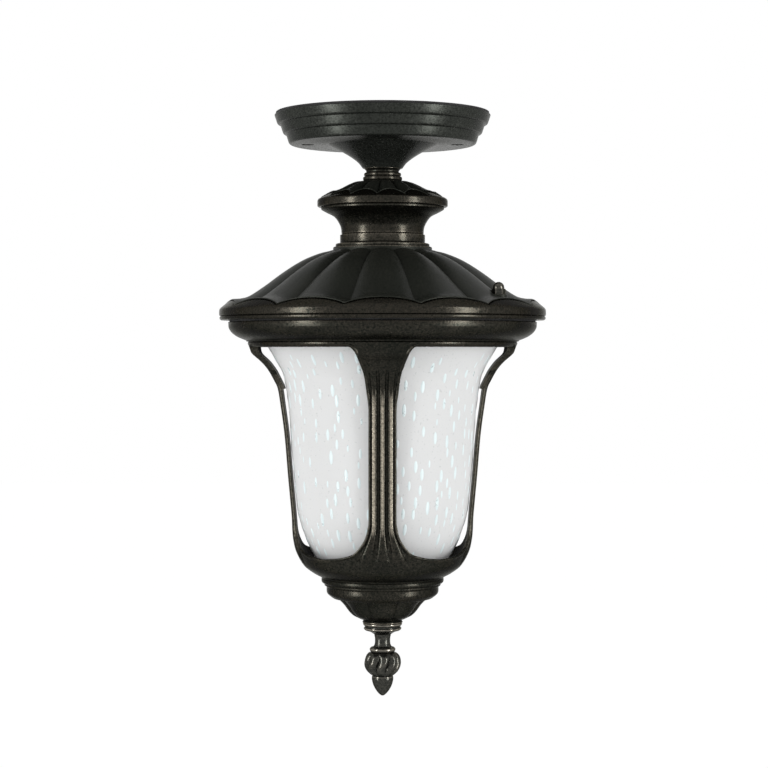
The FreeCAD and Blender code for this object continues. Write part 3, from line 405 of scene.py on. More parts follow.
# --- finishes
class Finish:
    """A material with its nodes; plain values are set on the shader's own sockets."""

    def __init__(self, name, **values):
        self.material = bpy.data.materials.new(name)
        self.material.use_nodes = True
        self.tree = self.material.node_tree
        self.shader = self.tree.nodes["Principled BSDF"]
        self.place = self.node("ShaderNodeTexCoord").outputs["Object"]
        for socket, value in values.items():
            self.set(socket.replace("_", " "), value)

    def set(self, socket, value):
        if isinstance(value, bpy.types.NodeSocket):
            self.tree.links.new(value, self.shader.inputs[socket])
        else:
            self.shader.inputs[socket].default_value = value

    def node(self, kind, links=(), **settings):
        return wired(self.tree, kind, links, **settings)

    def stretched(self, x, y, z):
        return self.node("ShaderNodeMapping", {"Vector": self.place, "Scale": (x, y, z)}).outputs[0]

    def noise(self, size, detail=3.0, roughness=0.55, place=None, distortion=0.0):
        """Noise whose lumps are about `size` millimetres across."""
        return self.node("ShaderNodeTexNoise", {
            "Vector": place or self.place, "Scale": 1 / (size * MM), "Detail": detail,
            "Roughness": roughness, "Distortion": distortion}).outputs["Fac"]

    def remap(self, value, low, high, start=0.0, end=1.0):
        return self.node("ShaderNodeMapRange", {
            "Value": value, "From Min": low, "From Max": high, "To Min": start, "To Max": end,
        }).outputs["Result"]

    def math(self, operation, first, second=0.0):
        node = self.node("ShaderNodeMath", {0: first, 1: second}, operation=operation, use_clamp=True)
        return node.outputs[0]

    def times(self, first, second):
        return self.math("MULTIPLY", first, second)

    def mix(self, share, first, second):
        """A colour between two colours."""
        first, second = (
            part if isinstance(part, bpy.types.NodeSocket) else (*part, 1.0) for part in (first, second))
        return self.node("ShaderNodeMix", {0: share, 6: first, 7: second}, data_type="RGBA").outputs[2]

    def written(self, name):
        return self.node("ShaderNodeAttribute", attribute_name=name).outputs["Fac"]

    def bump(self, *layers):
        """Layers of (height, depth in millimetres, strength), laid one on another."""
        normal = None
        for height, depth, strength in layers:
            links = {"Height": height, "Distance": depth * MM, "Strength": strength}
            if normal is not None:
                links["Normal"] = normal
            normal = self.node("ShaderNodeBump", links).outputs["Normal"]
        self.set("Normal", normal)


BARED_AND_HIGHLIT_SHARE = 0.06
CREST_HIGHLIGHT_SHARE = 0.95
GRAZING_TINT = (0.35, 0.35, 0.33, 1.0)


def cast_metal(name, dark, warm, rub_and_highlight, roughness, fleck, edge, grain_depth, metallic=0.85, gloss=0.2):
    """Dark cast metal: patina in patches, metallic flecks, worn metal on what stands out, painted highlights
    where the mark says so, and painted shade in the hollows.
    """
    finish = Finish(name, Metallic=metallic, Specular_IOR_Level=gloss)
    patches = finish.noise(26, detail=4, roughness=0.6)
    grain = finish.noise(1.3, detail=4, roughness=0.65)
    fine = finish.noise(0.55, detail=2)
    clouds = finish.noise(9, detail=5, roughness=0.7)
    patchy = finish.remap(patches, 0.30, 0.62, 0.35, 1.0)
    speckled = finish.times(finish.remap(grain, 0.36, 0.64), patchy)
    coat = finish.mix(speckled, dark, warm)
    # Coat worn back, plus the painted highlights on the reed tops and the cove's lower half, lighten the
    # base.
    bared_and_highlit = finish.times(finish.written("rubbed_and_highlit"), finish.remap(grain, 0.34, 0.62, 0.12, 1.0))
    base = finish.mix(bared_and_highlit, coat, tuple(BARED_AND_HIGHLIT_SHARE * part for part in rub_and_highlight))
    specks = finish.remap(fine, 0.60, 0.72)
    fleck_share = finish.times(specks, finish.remap(clouds, 0.35, 0.7, fleck * 0.35, fleck))
    edges = finish.times(finish.written("raised"), finish.remap(grain, 0.30, 0.62, 0.25, 1.0))
    worn = finish.times(edges, finish.remap(clouds, 0.3, 0.6, edge * 0.55, edge))
    # Painted highlight: above 1 the mark draws a bright line of worn-metal colour along each reed top.
    crest_highlight = finish.times(
        finish.remap(finish.written("rubbed_and_highlit"), 1.0, 2.0, 0.0, CREST_HIGHLIGHT_SHARE),
        finish.remap(grain, 0.30, 0.60, 0.35, 1.0))
    shown = finish.math("ADD", finish.math("ADD", worn, fleck_share), crest_highlight)
    colour = finish.mix(shown, base, rub_and_highlight)
    # Painted shade: the hollows are darkened to half the dark coat.
    hollow_shade = finish.times(finish.written("hollow"), 0.7)
    finish.set("Base Color", finish.mix(hollow_shade, colour, tuple(0.5 * part for part in dark)))
    rough = finish.remap(grain, 0.25, 0.75, roughness - 0.09, roughness + 0.11)
    polish = finish.times(finish.math("ADD", worn, finish.written("rubbed_and_highlit")), 0.07)
    finish.set("Roughness", finish.math("SUBTRACT", rough, polish))
    finish.set("Specular Tint", GRAZING_TINT)
    finish.bump((clouds, 0.35, 0.25), (grain, grain_depth, 0.55), (fine, grain_depth * 0.5, 0.35))
    return finish.material


def plated(name, colour, roughness, size=3.0, metallic=1.0, marks=0.3):
    """Small machined metal: turning marks, dulled patches and fine scratches."""
    finish = Finish(name, Metallic=metallic)
    dull = finish.noise(size * 3, detail=4)
    marks_seen = finish.noise(size * 0.25, detail=3, place=finish.stretched(1, 1, 7))
    darker = tuple(part * 0.6 for part in colour)
    finish.set("Base Color", finish.mix(finish.remap(dull, 0.35, 0.7, 0.0, marks * 2), colour, darker))
    finish.set("Roughness", finish.remap(marks_seen, 0.3, 0.7, roughness - 0.08, roughness + 0.12))
    finish.bump((marks_seen, 0.03, marks))
    return finish.material


def moulded(name, colour, roughness, grain=0.8, depth=0.03, **values):
    """Moulded plastic, rubber or ceramic: fine skin, faint blotches, handling wear."""
    finish = Finish(name, **values)
    blotch = finish.noise(14, detail=4)
    skin = finish.noise(grain, detail=3)
    paler = tuple(min(1.0, part * 1.25 + 0.01) for part in colour)
    finish.set("Base Color", finish.mix(finish.remap(blotch, 0.4, 0.7), colour, paler))
    finish.set("Roughness", finish.remap(skin, 0.3, 0.7, roughness - 0.06, roughness + 0.1))
    finish.bump((skin, depth, 0.5))
    return finish.material


BRONZE = cast_metal(
    "antique_bronze_cast", (0.0075, 0.0088, 0.0072), (0.034, 0.031, 0.025), (0.42, 0.375, 0.30),
    roughness=0.30, fleck=0.12, edge=0.34, grain_depth=0.08)
PETAL = cast_metal(
    "antique_bronze_petals", (0.012, 0.0135, 0.011), (0.020, 0.0205, 0.017), (0.30, 0.28, 0.24),
    roughness=0.42, fleck=0.02, edge=0.08, grain_depth=0.04, metallic=0.35)
CHARCOAL = cast_metal(
    "charcoal_coat", (0.013, 0.0145, 0.0125), (0.036, 0.0385, 0.034), (0.20, 0.205, 0.195),
    roughness=0.28, fleck=0.22, edge=0.10, grain_depth=0.10, metallic=0.6, gloss=0.2)
PEWTER = cast_metal(
    "rubbed_pewter", (0.020, 0.0215, 0.0195), (0.060, 0.058, 0.050), (0.50, 0.455, 0.38),
    roughness=0.20, fleck=0.14, edge=0.60, grain_depth=0.02)
STEEL = plated("zinc_plate", (0.62, 0.62, 0.58), 0.34)
BLACK_STEEL = plated("blackened_screw", (0.035, 0.035, 0.034), 0.38, size=1.5)
BRASS = plated("brass_turned", (0.72, 0.52, 0.22), 0.28)
NICKEL = plated("nickel_plate", (0.72, 0.71, 0.68), 0.24, size=2.0)
RUBBER = moulded("black_rubber", (0.012, 0.012, 0.012), 0.75, grain=0.6, Specular_IOR_Level=0.15)
PLASTIC = moulded("holder_plastic", (0.022, 0.022, 0.024), 0.34, grain=1.2, depth=0.015)
CERAMIC = moulded("holder_ceramic", (0.80, 0.78, 0.73), 0.25, grain=2.0, depth=0.02)
BLOCK = moulded("terminal_plastic", (0.78, 0.77, 0.72), 0.4, grain=1.0)
LEAD_COLOURS = {
    "lead_live": (0.16, 0.055, 0.025),
    "lead_neutral": (0.03, 0.10, 0.38),
    "lead_earth": (0.06, 0.30, 0.05),
}


def opal_finish():
    """The lamp's opal glass."""
    finish = Finish("opal_glass", Transmission_Weight=0.15, IOR=1.45, Coat_Weight=0.3, Coat_Roughness=0.08)
    cloud = finish.noise(18, detail=3)
    finish.set("Base Color", finish.mix(cloud, (0.90, 0.89, 0.86), (0.84, 0.84, 0.82)))
    finish.set("Roughness", finish.remap(cloud, 0.3, 0.7, 0.22, 0.30))
    finish.bump((finish.noise(6), 0.05, 0.2))
    return finish.material


def seeded_finish():
    """Frosted shade glass: pale, faintly grained, with tiny dark specks."""
    finish = Finish("frosted_glass", IOR=1.45)
    grain = finish.noise(0.9, detail=3, roughness=0.7)
    cloud = finish.noise(30, detail=3, place=finish.stretched(1, 1, 0.6))
    specks = finish.remap(finish.noise(1.5, detail=1), 0.68, 0.73)
    pale = finish.mix(cloud, (0.615, 0.62, 0.62), (0.645, 0.645, 0.64))
    grained = finish.mix(finish.remap(grain, 0.3, 0.7, 0.0, 0.35), pale, (0.67, 0.685, 0.69))
    finish.set("Base Color", finish.mix(finish.times(specks, 0.35), grained, (0.30, 0.33, 0.33)))
    finish.set("Transmission Weight", 0.32)
    finish.set("Roughness", finish.remap(grain, 0.3, 0.7, 0.48, 0.62))
    finish.bump((cloud, 0.5, 0.25), (grain, 0.05, 0.4))
    return finish.material


def seed_finish():
    """The clear seeds in the shade, slightly bluish."""
    finish = Finish("glass_seed", IOR=1.45)
    tone = finish.noise(6)
    finish.set("Base Color", finish.mix(tone, (0.69, 0.79, 0.805), (0.74, 0.83, 0.84)))
    finish.set("Transmission Weight", 0.35)
    finish.set("Roughness", finish.remap(tone, 0.3, 0.7, 0.26, 0.36))
    return finish.material


OPAL = opal_finish()
FROSTED = seeded_finish()
SEED = seed_finish()


# --- canopy
BAND_TAPER = 1.9
BAND_STEP = 1.8
FACE_LEVEL = -20.0
CONE_RADIUS = 34.3
SCREW_SPACING = 94.0
SCREW_HEAD = 3.7
SCREW_ROOM = SCREW_HEAD + 0.25
CANOPY_WALL = 2.4


def make_canopy():
    """Three stepped bands, a flat face and a concave cone down to the neck."""
    drop = (rim_level - FACE_LEVEL) / 3
    tip = collar_radius + 0.2
    outline = []
    for number in range(3):
        start = canopy_radius - number * (BAND_TAPER + BAND_STEP)
        level = rim_level - number * drop
        outline.append((start, level, 0.7))
        if number < 2:
            outline.append((start - BAND_TAPER, level - drop + 0.5, 0.9))
            outline.append((start - BAND_TAPER - BAND_STEP + 0.1, level - drop, 0.5))
    foot_radius = canopy_radius - 3 * BAND_TAPER - 2 * BAND_STEP
    outline += [(foot_radius, FACE_LEVEL, 1.6)]
    cone = smooth_line([
        (CONE_RADIUS, FACE_LEVEL), (between(tip, CONE_RADIUS, 0.70), FACE_LEVEL - 3.3),
        (between(tip, CONE_RADIUS, 0.40), FACE_LEVEL - 7.0),
        (between(tip, CONE_RADIUS, 0.14), FACE_LEVEL - 11.2), (tip, collar_level)], per_span=8)
    inner = [(tube_radius, collar_level)] + placed(0, CANOPY_WALL, [
        (tube_radius, collar_level), (tip - 1.5, collar_level),
        *((across - 1.0, level) for across, level in reversed(cone[4:-4:4])),
        (CONE_RADIUS - 1.2, FACE_LEVEL), (foot_radius - CANOPY_WALL, FACE_LEVEL)])
    inner += [(canopy_radius - 2.8, rim_level)]
    shell = lathe("canopy_shell", rounded([inner[-1]] + outline + [cone[0]]) + cone[1:] + inner[:-1], 224)
    holes = []
    for side in (-1, 1):
        hole = lathe("hole", placed(0, FACE_LEVEL, [
            (0, -1), (SCREW_ROOM, -1), (SCREW_ROOM, 0.3), (2.3, 2.2), (2.3, 4), (0, 4)]), 40)
        hole.data.transform(shift(side * SCREW_SPACING / 2))
        holes.append(hole)
    cut_away(shell, *holes)
    tidy_mesh(shell.data, merge=1e-6, outward=False)
    return dress(shell, "root", ["canopy"], CHARCOAL, sharp=32)


def shift(x=0.0, y=0.0, z=0.0):
    return Matrix.Translation(Vector((x, y, z)) * MM)


def make_canopy_screws():
    """Two countersunk screws with cross recesses, copied about the axis."""
    head = rounded(placed(0, FACE_LEVEL, [
        (0, 0.35), (SCREW_HEAD - 0.9, 0.40, 0.5), (SCREW_HEAD, 0.75, 0.3), (2.0, 2.6), (2.0, 11), (1.2, 11.8),
        (0, 11.8)]))
    screw = lathe("canopy_screw_pair", head, 48)
    slots = []
    for wide, deep in ((3.6, 0.75), (0.75, 3.6)):
        mesh = bpy.data.meshes.new("slot")
        with edited(mesh) as work:
            bmesh.ops.create_cube(work, size=1.0)
            for vert in work.verts:
                x, y, z = vert.co
                taper = 0.55 if z > 0 else 1.0
                vert.co = Vector((x * wide * taper, y * deep, z * 2.6 + FACE_LEVEL + 0.4)) * MM
        slots.append(linked("slot", mesh))
    cut_away(screw, *slots)
    screw.data.transform(shift(SCREW_SPACING / 2))
    opposite_pair(screw, BLACK_STEEL)
    return dress(screw, "root", ["canopy_screws"], BLACK_STEEL, sharp=30)


# --- neck collar and cove
COVE_WAIST = 25.8


def make_neck_collar():
    """A short spool with two beads."""
    waist, full = collar_radius - 2.0, collar_radius
    height = collar_level - crown_level
    beads = [(across, collar_level - height * down, ease) for across, down, ease in (
        (waist, 0.20, 1.0), (waist, 0.34, 0.3), (full - 0.7, 0.37, 0.7), (full - 0.5, 0.58, 0.9),
        (waist + 0.9, 0.61, 0.25), (waist + 0.9, 0.66, 0.25), (full, 0.69, 0.7))]
    outline = rounded([(tube_radius, collar_level), (full - 0.6, collar_level, 0.4)] + beads + [
        (full + 0.1, crown_level + 0.5, 0.9), (full - 0.7, crown_level), (tube_radius, crown_level)])
    collar = lathe("neck_spool", outline, 128)
    rub_and_highlight(collar, lambda radius, azimuth, level: 0.6 * eased(radius, waist + 0.5, full))
    return dress(collar, "root", ["neck_collar"], BRONZE)


def make_neck_cove():
    """The hollow-sided neck under the crown cap."""
    waist = COVE_WAIST
    height = cove_level - roof_level
    side = smooth_line([
        (cove_radius - 0.4, cove_level - 1.7), (cove_radius - 3.6, cove_level - height * 0.20),
        (cove_radius - 8.2, cove_level - height * 0.34), (waist + 2.0, cove_level - height * 0.54),
        (waist + 0.45, cove_level - height * 0.74), (waist, roof_level + 0.5)], per_span=8)
    rim = rounded([
        (tube_radius, cove_level), (cove_radius, cove_level, 0.3), (cove_radius, cove_level - 1.2, 0.5)])
    inside = rounded([
        side[-1], (waist - 0.5, roof_level, 0.2), (waist - WALL, roof_level),
        (waist - WALL, cove_level - 3.0), (tube_radius, cove_level - 3.0)])
    cove = lathe("neck_hollow", rim + side + inside[1:], 160)
    # The lower half of the hollow gets the worn-metal colour: partly coat worn back, partly a painted
    # highlight where it turns upright and faces the side lights.
    rub_and_highlight(cove, lambda radius, azimuth, level: 1 - eased(
        level, roof_level + height * 0.10, roof_level + height * 0.52))
    return dress(cove, "root", ["neck_cove"], BRONZE)


# --- petalled castings
PETALS = 14
CROWN_TURN = 7.9


def petal_sector(name, count, rows_for, columns=28):
    """One petal, from crease to crest to crease; rows_for gives its outline at a share of the half pitch."""
    shares = np.linspace(-1, 1, columns + 1)
    rows = [np.array(rows_for(abs(share)), float) for share in shares]
    stack = np.stack(rows, axis=1)
    azimuth = shares * math.pi / count
    points = polar(stack[..., 0], azimuth[None, :], stack[..., 1])
    return grid_object(name, points, close_rows=True, tidy=False)


def sag(share):
    """How far a petal has dropped at a share of its half width: a round back and a sharp crease."""
    return share * share * (0.72 + 0.28 * share * share)


def below_lip(radius, azimuth, level, lip, turn=0.0, fall=0.6):
    """Whether a point lies under the petals' lips; lip gives a lip's level at a share of its width."""
    half_pitch = math.pi / PETALS
    turned = (azimuth - turn + half_pitch) % (2 * half_pitch) - half_pitch
    return level < lip(np.abs(turned) / half_pitch) - fall


def finish_petals(piece, cast):
    """Satin petals, and the mottled cast finish where cast says so."""
    piece.data.materials.clear()
    piece.data.materials.append(PETAL)
    piece.data.materials.append(BRONZE)
    for face in piece.data.polygons:
        x, y, z = face.center / MM
        face.material_index = int(cast(math.hypot(x, y), math.atan2(x, -y), z))


ROOF_DEPTH = 3.7
NECK_RADIUS = 31.1
PETAL_TOP = 9.6
FIRST_BAND = 5.2
FASCIA_HEIGHT = 12.9
FASCIA_SLOPE = 7.5
ROOF_LINE = [
    (0.0, 0.0, 0.35), (0.05, 0.03, 0.5), (0.16, 0.09, 0.75), (0.32, 0.23, 0.95), (0.50, 0.46, 1.0),
    (0.68, 0.73, 1.0), (0.83, 0.93, 1.0), (0.92, 0.985, 1.0)]


def roof_lip(share):
    return eave_level + FASCIA_HEIGHT - ROOF_DEPTH * sag(share)


def roof_rows(share):
    """The roof's outline at one azimuth of a petal."""
    drop = ROOF_DEPTH * sag(share)
    petal_level = roof_level - PETAL_TOP
    fascia_top = eave_level + FASCIA_HEIGHT
    fascia_radius = roof_radius - FASCIA_SLOPE
    slope = (FASCIA_SLOPE - 1.2) / (FASCIA_HEIGHT * 0.38)
    line = [
        (between(NECK_RADIUS, fascia_radius, across),
         petal_level - (petal_level - fascia_top) * fall - drop * depth)
        for across, fall, depth in ROOF_LINE]
    end_level = fascia_top - drop
    end_radius = fascia_radius + drop * slope
    line.append((end_radius - 0.4, end_level + 0.12))
    petal = smooth_line(line, per_span=7)
    neck = rounded([
        (tube_radius, roof_level), (NECK_RADIUS - 4.4, roof_level, 0.6),
        (NECK_RADIUS - 4.4, roof_level - FIRST_BAND, 0.4),
        (NECK_RADIUS - 1.6, roof_level - FIRST_BAND - 0.6, 0.7),
        (NECK_RADIUS - 1.6, petal_level + 2.0, 0.3), (NECK_RADIUS, petal_level + 1.8, 0.7), line[0]])
    lip = placed(end_radius, end_level, [(0.55, 0, 0.5), (0.45, -0.75, 0.3), (-0.35, -0.95, 0.15)])
    fascia_foot = fascia_top - FASCIA_HEIGHT * 0.38
    fascia = [
        (fascia_radius + (drop + 1.5) * slope, end_level - 1.5, 0.3), (roof_radius - 1.2, fascia_foot, 1.6),
        (roof_radius, fascia_foot - 1.4, 1.6)]
    eave = placed(roof_radius, eave_level, [
        (0, 2.9, 0.5), (-0.95, 2.45, 0.25), (-0.25, 2.0, 0.4), (-0.25, 0.7, 0.7), (-1.1, 0)])
    edge = rounded(petal[-1:] + lip + fascia + eave)
    inside = [(roof_radius - 5.6, eave_level), (roof_radius - 5.6, fascia_top - 7.2)]
    inside += [
        (between(NECK_RADIUS, fascia_radius, across), petal_level - (petal_level - fascia_top) * fall - 6.3)
        for across, fall in ((0.83, 0.93), (0.50, 0.46), (0.24, 0.16))]
    inside += [(NECK_RADIUS - 6.7, petal_level - WALL), (NECK_RADIUS - 6.7, roof_level - 3.0),
               (tube_radius, roof_level - 3.0)]
    return neck[:-1] + petal + edge[1:] + inside


NUT_CIRCLE = 84.0
NUT_AZIMUTH = math.radians(57.0)
BOSS_RADIUS = 5.6


def boss(name, radius, low, high, ease=0.5):
    post = lathe(name, rounded([(0, high), (radius, high, ease), (radius, low), (0, low)]), 48)
    post.data.transform(shift(NUT_CIRCLE * math.sin(NUT_AZIMUTH), -NUT_CIRCLE * math.cos(NUT_AZIMUTH)))
    return post


def make_roof():
    """Fourteen petals that end in arches on a slanted fascia, with two bosses for the cap nuts."""
    skin = ring_of(petal_sector("roof_skin", PETALS, roof_rows, 30), PETALS, PETAL)
    boss_level = foot("roof_nut_front")
    pads = opposite_pair(boss("pads", BOSS_RADIUS, eave_level + 5.3, boss_level - 0.01), PETAL)
    room = opposite_pair(boss("room", BOSS_RADIUS - 0.05, boss_level, boss_level + 9.0, ease=0.0), PETAL)
    cut_away(skin, room)
    roof = join("roof_shell", skin, pads)
    neck_foot = roof_level - PETAL_TOP + 0.8

    def fascia(radius, azimuth, level):
        under = below_lip(radius, azimuth, level, roof_lip)
        return (radius > roof_radius - FASCIA_SLOPE - 1.0) & under

    finish_petals(roof, lambda radius, azimuth, level:
                  fascia(radius, azimuth, level) or (radius < NECK_RADIUS + 0.2 and level > neck_foot))
    rub_and_highlight(roof, lambda radius, azimuth, level: np.where(
        fascia(radius, azimuth, level), 1.0, 0.8 * band(level, roof_level - FIRST_BAND, roof_level + 2)))
    return dress(roof, "root", ["roof"])


CROWN_DEPTH = 3.3
CROWN_TOP_RADIUS = 13.6
CROWN_BAND = 5.4
CROWN_FASCIA = 4.2
CROWN_FASCIA_RADIUS = 33.0
CROWN_LINE = [(0.0, 0.0, 0.25), (0.22, 0.10, 0.6), (0.46, 0.38, 0.85), (0.70, 0.74, 0.97), (0.88, 0.94, 1.0)]


def crown_lip(share):
    return cove_level + CROWN_BAND + CROWN_FASCIA - CROWN_DEPTH * sag(share)


def crown_rows(share):
    """The crown cap's outline at one azimuth of a petal."""
    drop = CROWN_DEPTH * sag(share)
    edge_level = cove_level + CROWN_BAND
    fascia_top = edge_level + CROWN_FASCIA
    slope = (crown_radius - 1.0 - CROWN_FASCIA_RADIUS) / CROWN_FASCIA
    line = [
        (between(CROWN_TOP_RADIUS, CROWN_FASCIA_RADIUS, across),
         between(crown_level - 0.3, fascia_top, fall) - drop * depth)
        for across, fall, depth in CROWN_LINE]
    end_level = fascia_top - drop
    end_radius = CROWN_FASCIA_RADIUS + drop * slope
    line.append((end_radius - 0.3, end_level + 0.1))
    petal = smooth_line(line, per_span=7)
    head = rounded([(tube_radius, crown_level), (CROWN_TOP_RADIUS - 1.2, crown_level, 0.4), line[0]])
    lip = placed(end_radius, end_level, [(0.4, 0, 0.35), (0.3, -0.5, 0.2), (-0.3, -0.7, 0.1)])
    rim = rounded(petal[-1:] + lip + [
        (crown_radius - 1.0, edge_level, 1.0), (crown_radius, edge_level - 1.0, 1.0),
        (crown_radius, cove_level + 0.5, 0.5), (crown_radius - 0.9, cove_level, 0.4),
        (crown_radius - WALL, cove_level, 0.2), (crown_radius - WALL, edge_level - 3.3),
        (tube_radius + WALL, edge_level - 3.3), (tube_radius + WALL, cove_level), (tube_radius, cove_level)])
    return head[:-1] + petal + rim[1:]


def make_crown_cap():
    """The petalled cap above the cove, turned a little from the roof's petals."""
    turn = math.radians(CROWN_TURN)
    cap = ring_of(petal_sector("crown_petals", PETALS, crown_rows, 24), PETALS, PETAL, turn=turn)

    def fascia(radius, azimuth, level):
        return (radius > CROWN_FASCIA_RADIUS - 1.0) & below_lip(radius, azimuth, level, crown_lip, turn)

    finish_petals(cap, fascia)
    rub_and_highlight(cap, lambda radius, azimuth, level: np.where(fascia(radius, azimuth, level), 1.0, 0.0))
    return dress(cap, "root", ["crown_cap"])


# --- cage
RIB_LINE = [
    (-3.0, 27.4), (-1.5, 27.0), (0.0, 26.4), (3.0, 24.8), (7.0, 20.2), (10.6, 17.0), (14.5, 14.2),
    (20.0, 11.2), (25.0, 9.0), (36.0, 7.2), (54.0, 4.8), (80.0, 2.6), (104.0, 0.4), (113.0, 0.0),
    (120.0, -0.7), (127.5, -2.6), (135.2, -7.0), (140.0, -13.0), (143.0, -18.6)]
RIB_WIDTHS = [
    (-3.0, 26.5), (-1.7, 21.4), (-0.9, 19.3), (0.5, 17.7), (2.4, 16.4), (5.6, 14.9), (9.9, 13.3),
    (14.5, 11.8), (20.0, 10.8), (26.0, 10.0), (36.0, 8.8), (60.0, 8.8), (84.0, 8.8), (104.0, 8.8),
    (108.5, 9.4), (114.5, 11.0), (120.0, 14.5), (124.0, 18.3), (126.0, 23.0), (127.4, 29.0), (128.3, 36.0),
    (128.8, 44.0)]
LAP_DEPTH = 14.5
STRAP_THICK = 2.5
BRACKET_THICK = 4.2
TONGUE_THICK = 1.5
REED_PITCH = 5.2
REED_HALF = 1.95
REED_HEIGHT = 1.65
BEAD_HALF = 0.95
BEAD_HEIGHT = 0.85
QUARTER = math.pi / 4
WINDOW_FOOT = 128.8
STRAP_FOOT = 143.0
RING_INSIDE = 75.9
BAND_RADIUS = 38.4


def line_at(table, depth):
    """A smooth reading of a table of (depth, value)."""
    soft = np.array(smooth_line(table, per_span=8))
    return np.interp(depth, soft[:, 0], soft[:, 1])


def rib_half_angle(width, radius):
    return np.arcsin(np.clip(width / radius, 0, math.sin(QUARTER)))


def rib_depths(first, last, step):
    """Depths along a rib, evenly spaced along the window's edge."""
    soft = np.array(smooth_line(RIB_WIDTHS, per_span=10))
    edge = soft[(soft[:, 0] > first) & (soft[:, 0] < last)]
    radius = RIB_RADIUS + line_at(RIB_LINE, edge[:, 0])
    angle = rib_half_angle(edge[:, 1], radius)
    inside = angle < QUARTER - 1e-6
    edge = edge[inside]
    ends = np.array([first, *edge[:, 0], *([edge[-1, 0] + 0.12, last] if last > WINDOW_FOOT else [last])])
    widths = np.interp(ends, soft[:, 0], soft[:, 1])
    run = np.concatenate([[0], np.cumsum(np.hypot(np.diff(ends), np.diff(np.minimum(widths, 40.0))))])
    samples = max(2, int(run[-1] / step))
    return np.unique(np.interp(np.linspace(0, run[-1], samples), run, ends))


def edge_distance(x, s, outline):
    """The distance of every point from the window's outline, on the unrolled rib."""
    best = np.full(x.shape, 1e9)
    for start, end in zip(outline[:-1], outline[1:]):
        along = end - start
        length = max(float(along @ along), 1e-12)
        share = np.clip(((x - start[0]) * along[0] + (s - start[1]) * along[1]) / length, 0, 1)
        best = np.minimum(best, np.hypot(x - start[0] - share * along[0], s - start[1] - share * along[1]))
    return best


def reed_ridge(across, depth):
    """Three rounded ridges that flare at the top and fan out over the bowl, and how strong they are."""
    spread = 1 + 0.22 * (1 - eased(depth, 6, 24)) + 1.25 * eased(depth, 106, 136)
    strength = eased(depth, 5, 19) * (1 - eased(depth, 124, 138))
    ridge = np.zeros_like(across)
    for number in (-1, 0, 1):
        offset = (across / spread - number * REED_PITCH) / REED_HALF
        ridge = np.maximum(ridge, np.sqrt(np.clip(1 - offset ** 2, 0, 1)))
    return ridge, strength


def off_rib(azimuth):
    """The angle from the nearest rib."""
    return (azimuth + QUARTER) % (2 * QUARTER) - QUARTER


def beside_ribs(azimuth):
    return eased(np.abs(off_rib(azimuth)), 0.24, 0.36)


def reed_rub_and_highlight(radius, azimuth, level):
    """Worn coat on the reeds, and above 1 a painted highlight line along each reed's top."""
    turned = off_rib(azimuth)
    depth = rib_level - level
    ridge, strength = reed_ridge(radius * turned, depth)
    outside = radius > RIB_RADIUS + line_at(RIB_LINE, depth) - 1.0
    # Painted highlight: a narrow bright line along the top of each reed.
    crest = eased(ridge, 0.90, 0.985) * eased(depth, 20, 40) * (1 - eased(depth, 102, 120))
    sides = eased(ridge, 0.25, 0.75) * strength * eased(depth, 15, 32) * (1 - eased(depth, 108, 126))
    return np.where(outside, sides + crest, 0.0)


def rib_sector(name, first, last, thick, columns, step):
    """One rib between two depths, opening into a quarter of the bowl below the windows."""
    depth = rib_depths(first, last, step)
    radius = RIB_RADIUS + line_at(RIB_LINE, depth)
    half_width = line_at(RIB_WIDTHS, np.minimum(depth, WINDOW_FOOT))
    angle = rib_half_angle(half_width, radius)
    angle[depth > WINDOW_FOOT] = QUARTER
    u = np.linspace(-1, 1, columns + 1)
    azimuth = np.arcsin(u[None, :] * np.sin(angle)[:, None])
    across = radius[:, None] * azimuth
    along = np.concatenate([[0], np.cumsum(np.hypot(np.diff(radius), np.diff(depth)))])
    open_rows = angle < QUARTER - 1e-6
    rim = np.stack([(radius * angle)[open_rows], along[open_rows]], axis=1)
    if last > WINDOW_FOOT:
        rim = np.vstack([rim, [radius[~open_rows][0] * QUARTER, along[~open_rows][0]]])
    distance = edge_distance(np.abs(across), along[:, None] * np.ones_like(across), rim)
    ridge, strength = reed_ridge(across, depth[:, None])
    bead = np.sqrt(np.clip(1 - ((distance - BEAD_HALF) / BEAD_HALF) ** 2, 0, 1))
    valley = -REED_HEIGHT * strength * np.ones_like(across)
    height = valley + REED_HEIGHT * ridge * strength
    height = np.maximum(height, valley + BEAD_HEIGHT * bead) - 0.35 * (1 - eased(distance, 0.0, 0.5)) - 0.15
    outer = polar(radius[:, None] + height, azimuth, (rib_level - depth)[:, None])
    inner_radius = (radius - thick)[:, None] * np.ones_like(across)
    inner = polar(inner_radius, azimuth, (rib_level - depth)[:, None])
    rows, count = across.shape
    points = np.concatenate([outer.reshape(-1, 3), inner.reshape(-1, 3)])
    front, back = np.arange(2 * rows * count).reshape(2, rows, count)
    faces = []
    for i in range(rows - 1):
        for j in range(count - 1):
            faces.append((front[i, j], front[i, j + 1], front[i + 1, j + 1], front[i + 1, j]))
            faces.append((back[i + 1, j], back[i + 1, j + 1], back[i, j + 1], back[i, j]))
        if open_rows[i]:
            for j, flip in ((0, 1), (count - 1, 0)):
                side = (front[i, j], front[i + 1, j], back[i + 1, j], back[i, j])
                faces.append(side if flip else side[::-1])
    for i, flip in ((0, 0), (rows - 1, 1)):
        for j in range(count - 1):
            end = (front[i, j], front[i, j + 1], back[i, j + 1], back[i, j])
            faces.append(end if flip else end[::-1])
    mesh = bpy.data.meshes.new(name)
    mesh.from_pydata(points.tolist(), [], np.array(faces).tolist())
    return linked(name, mesh)


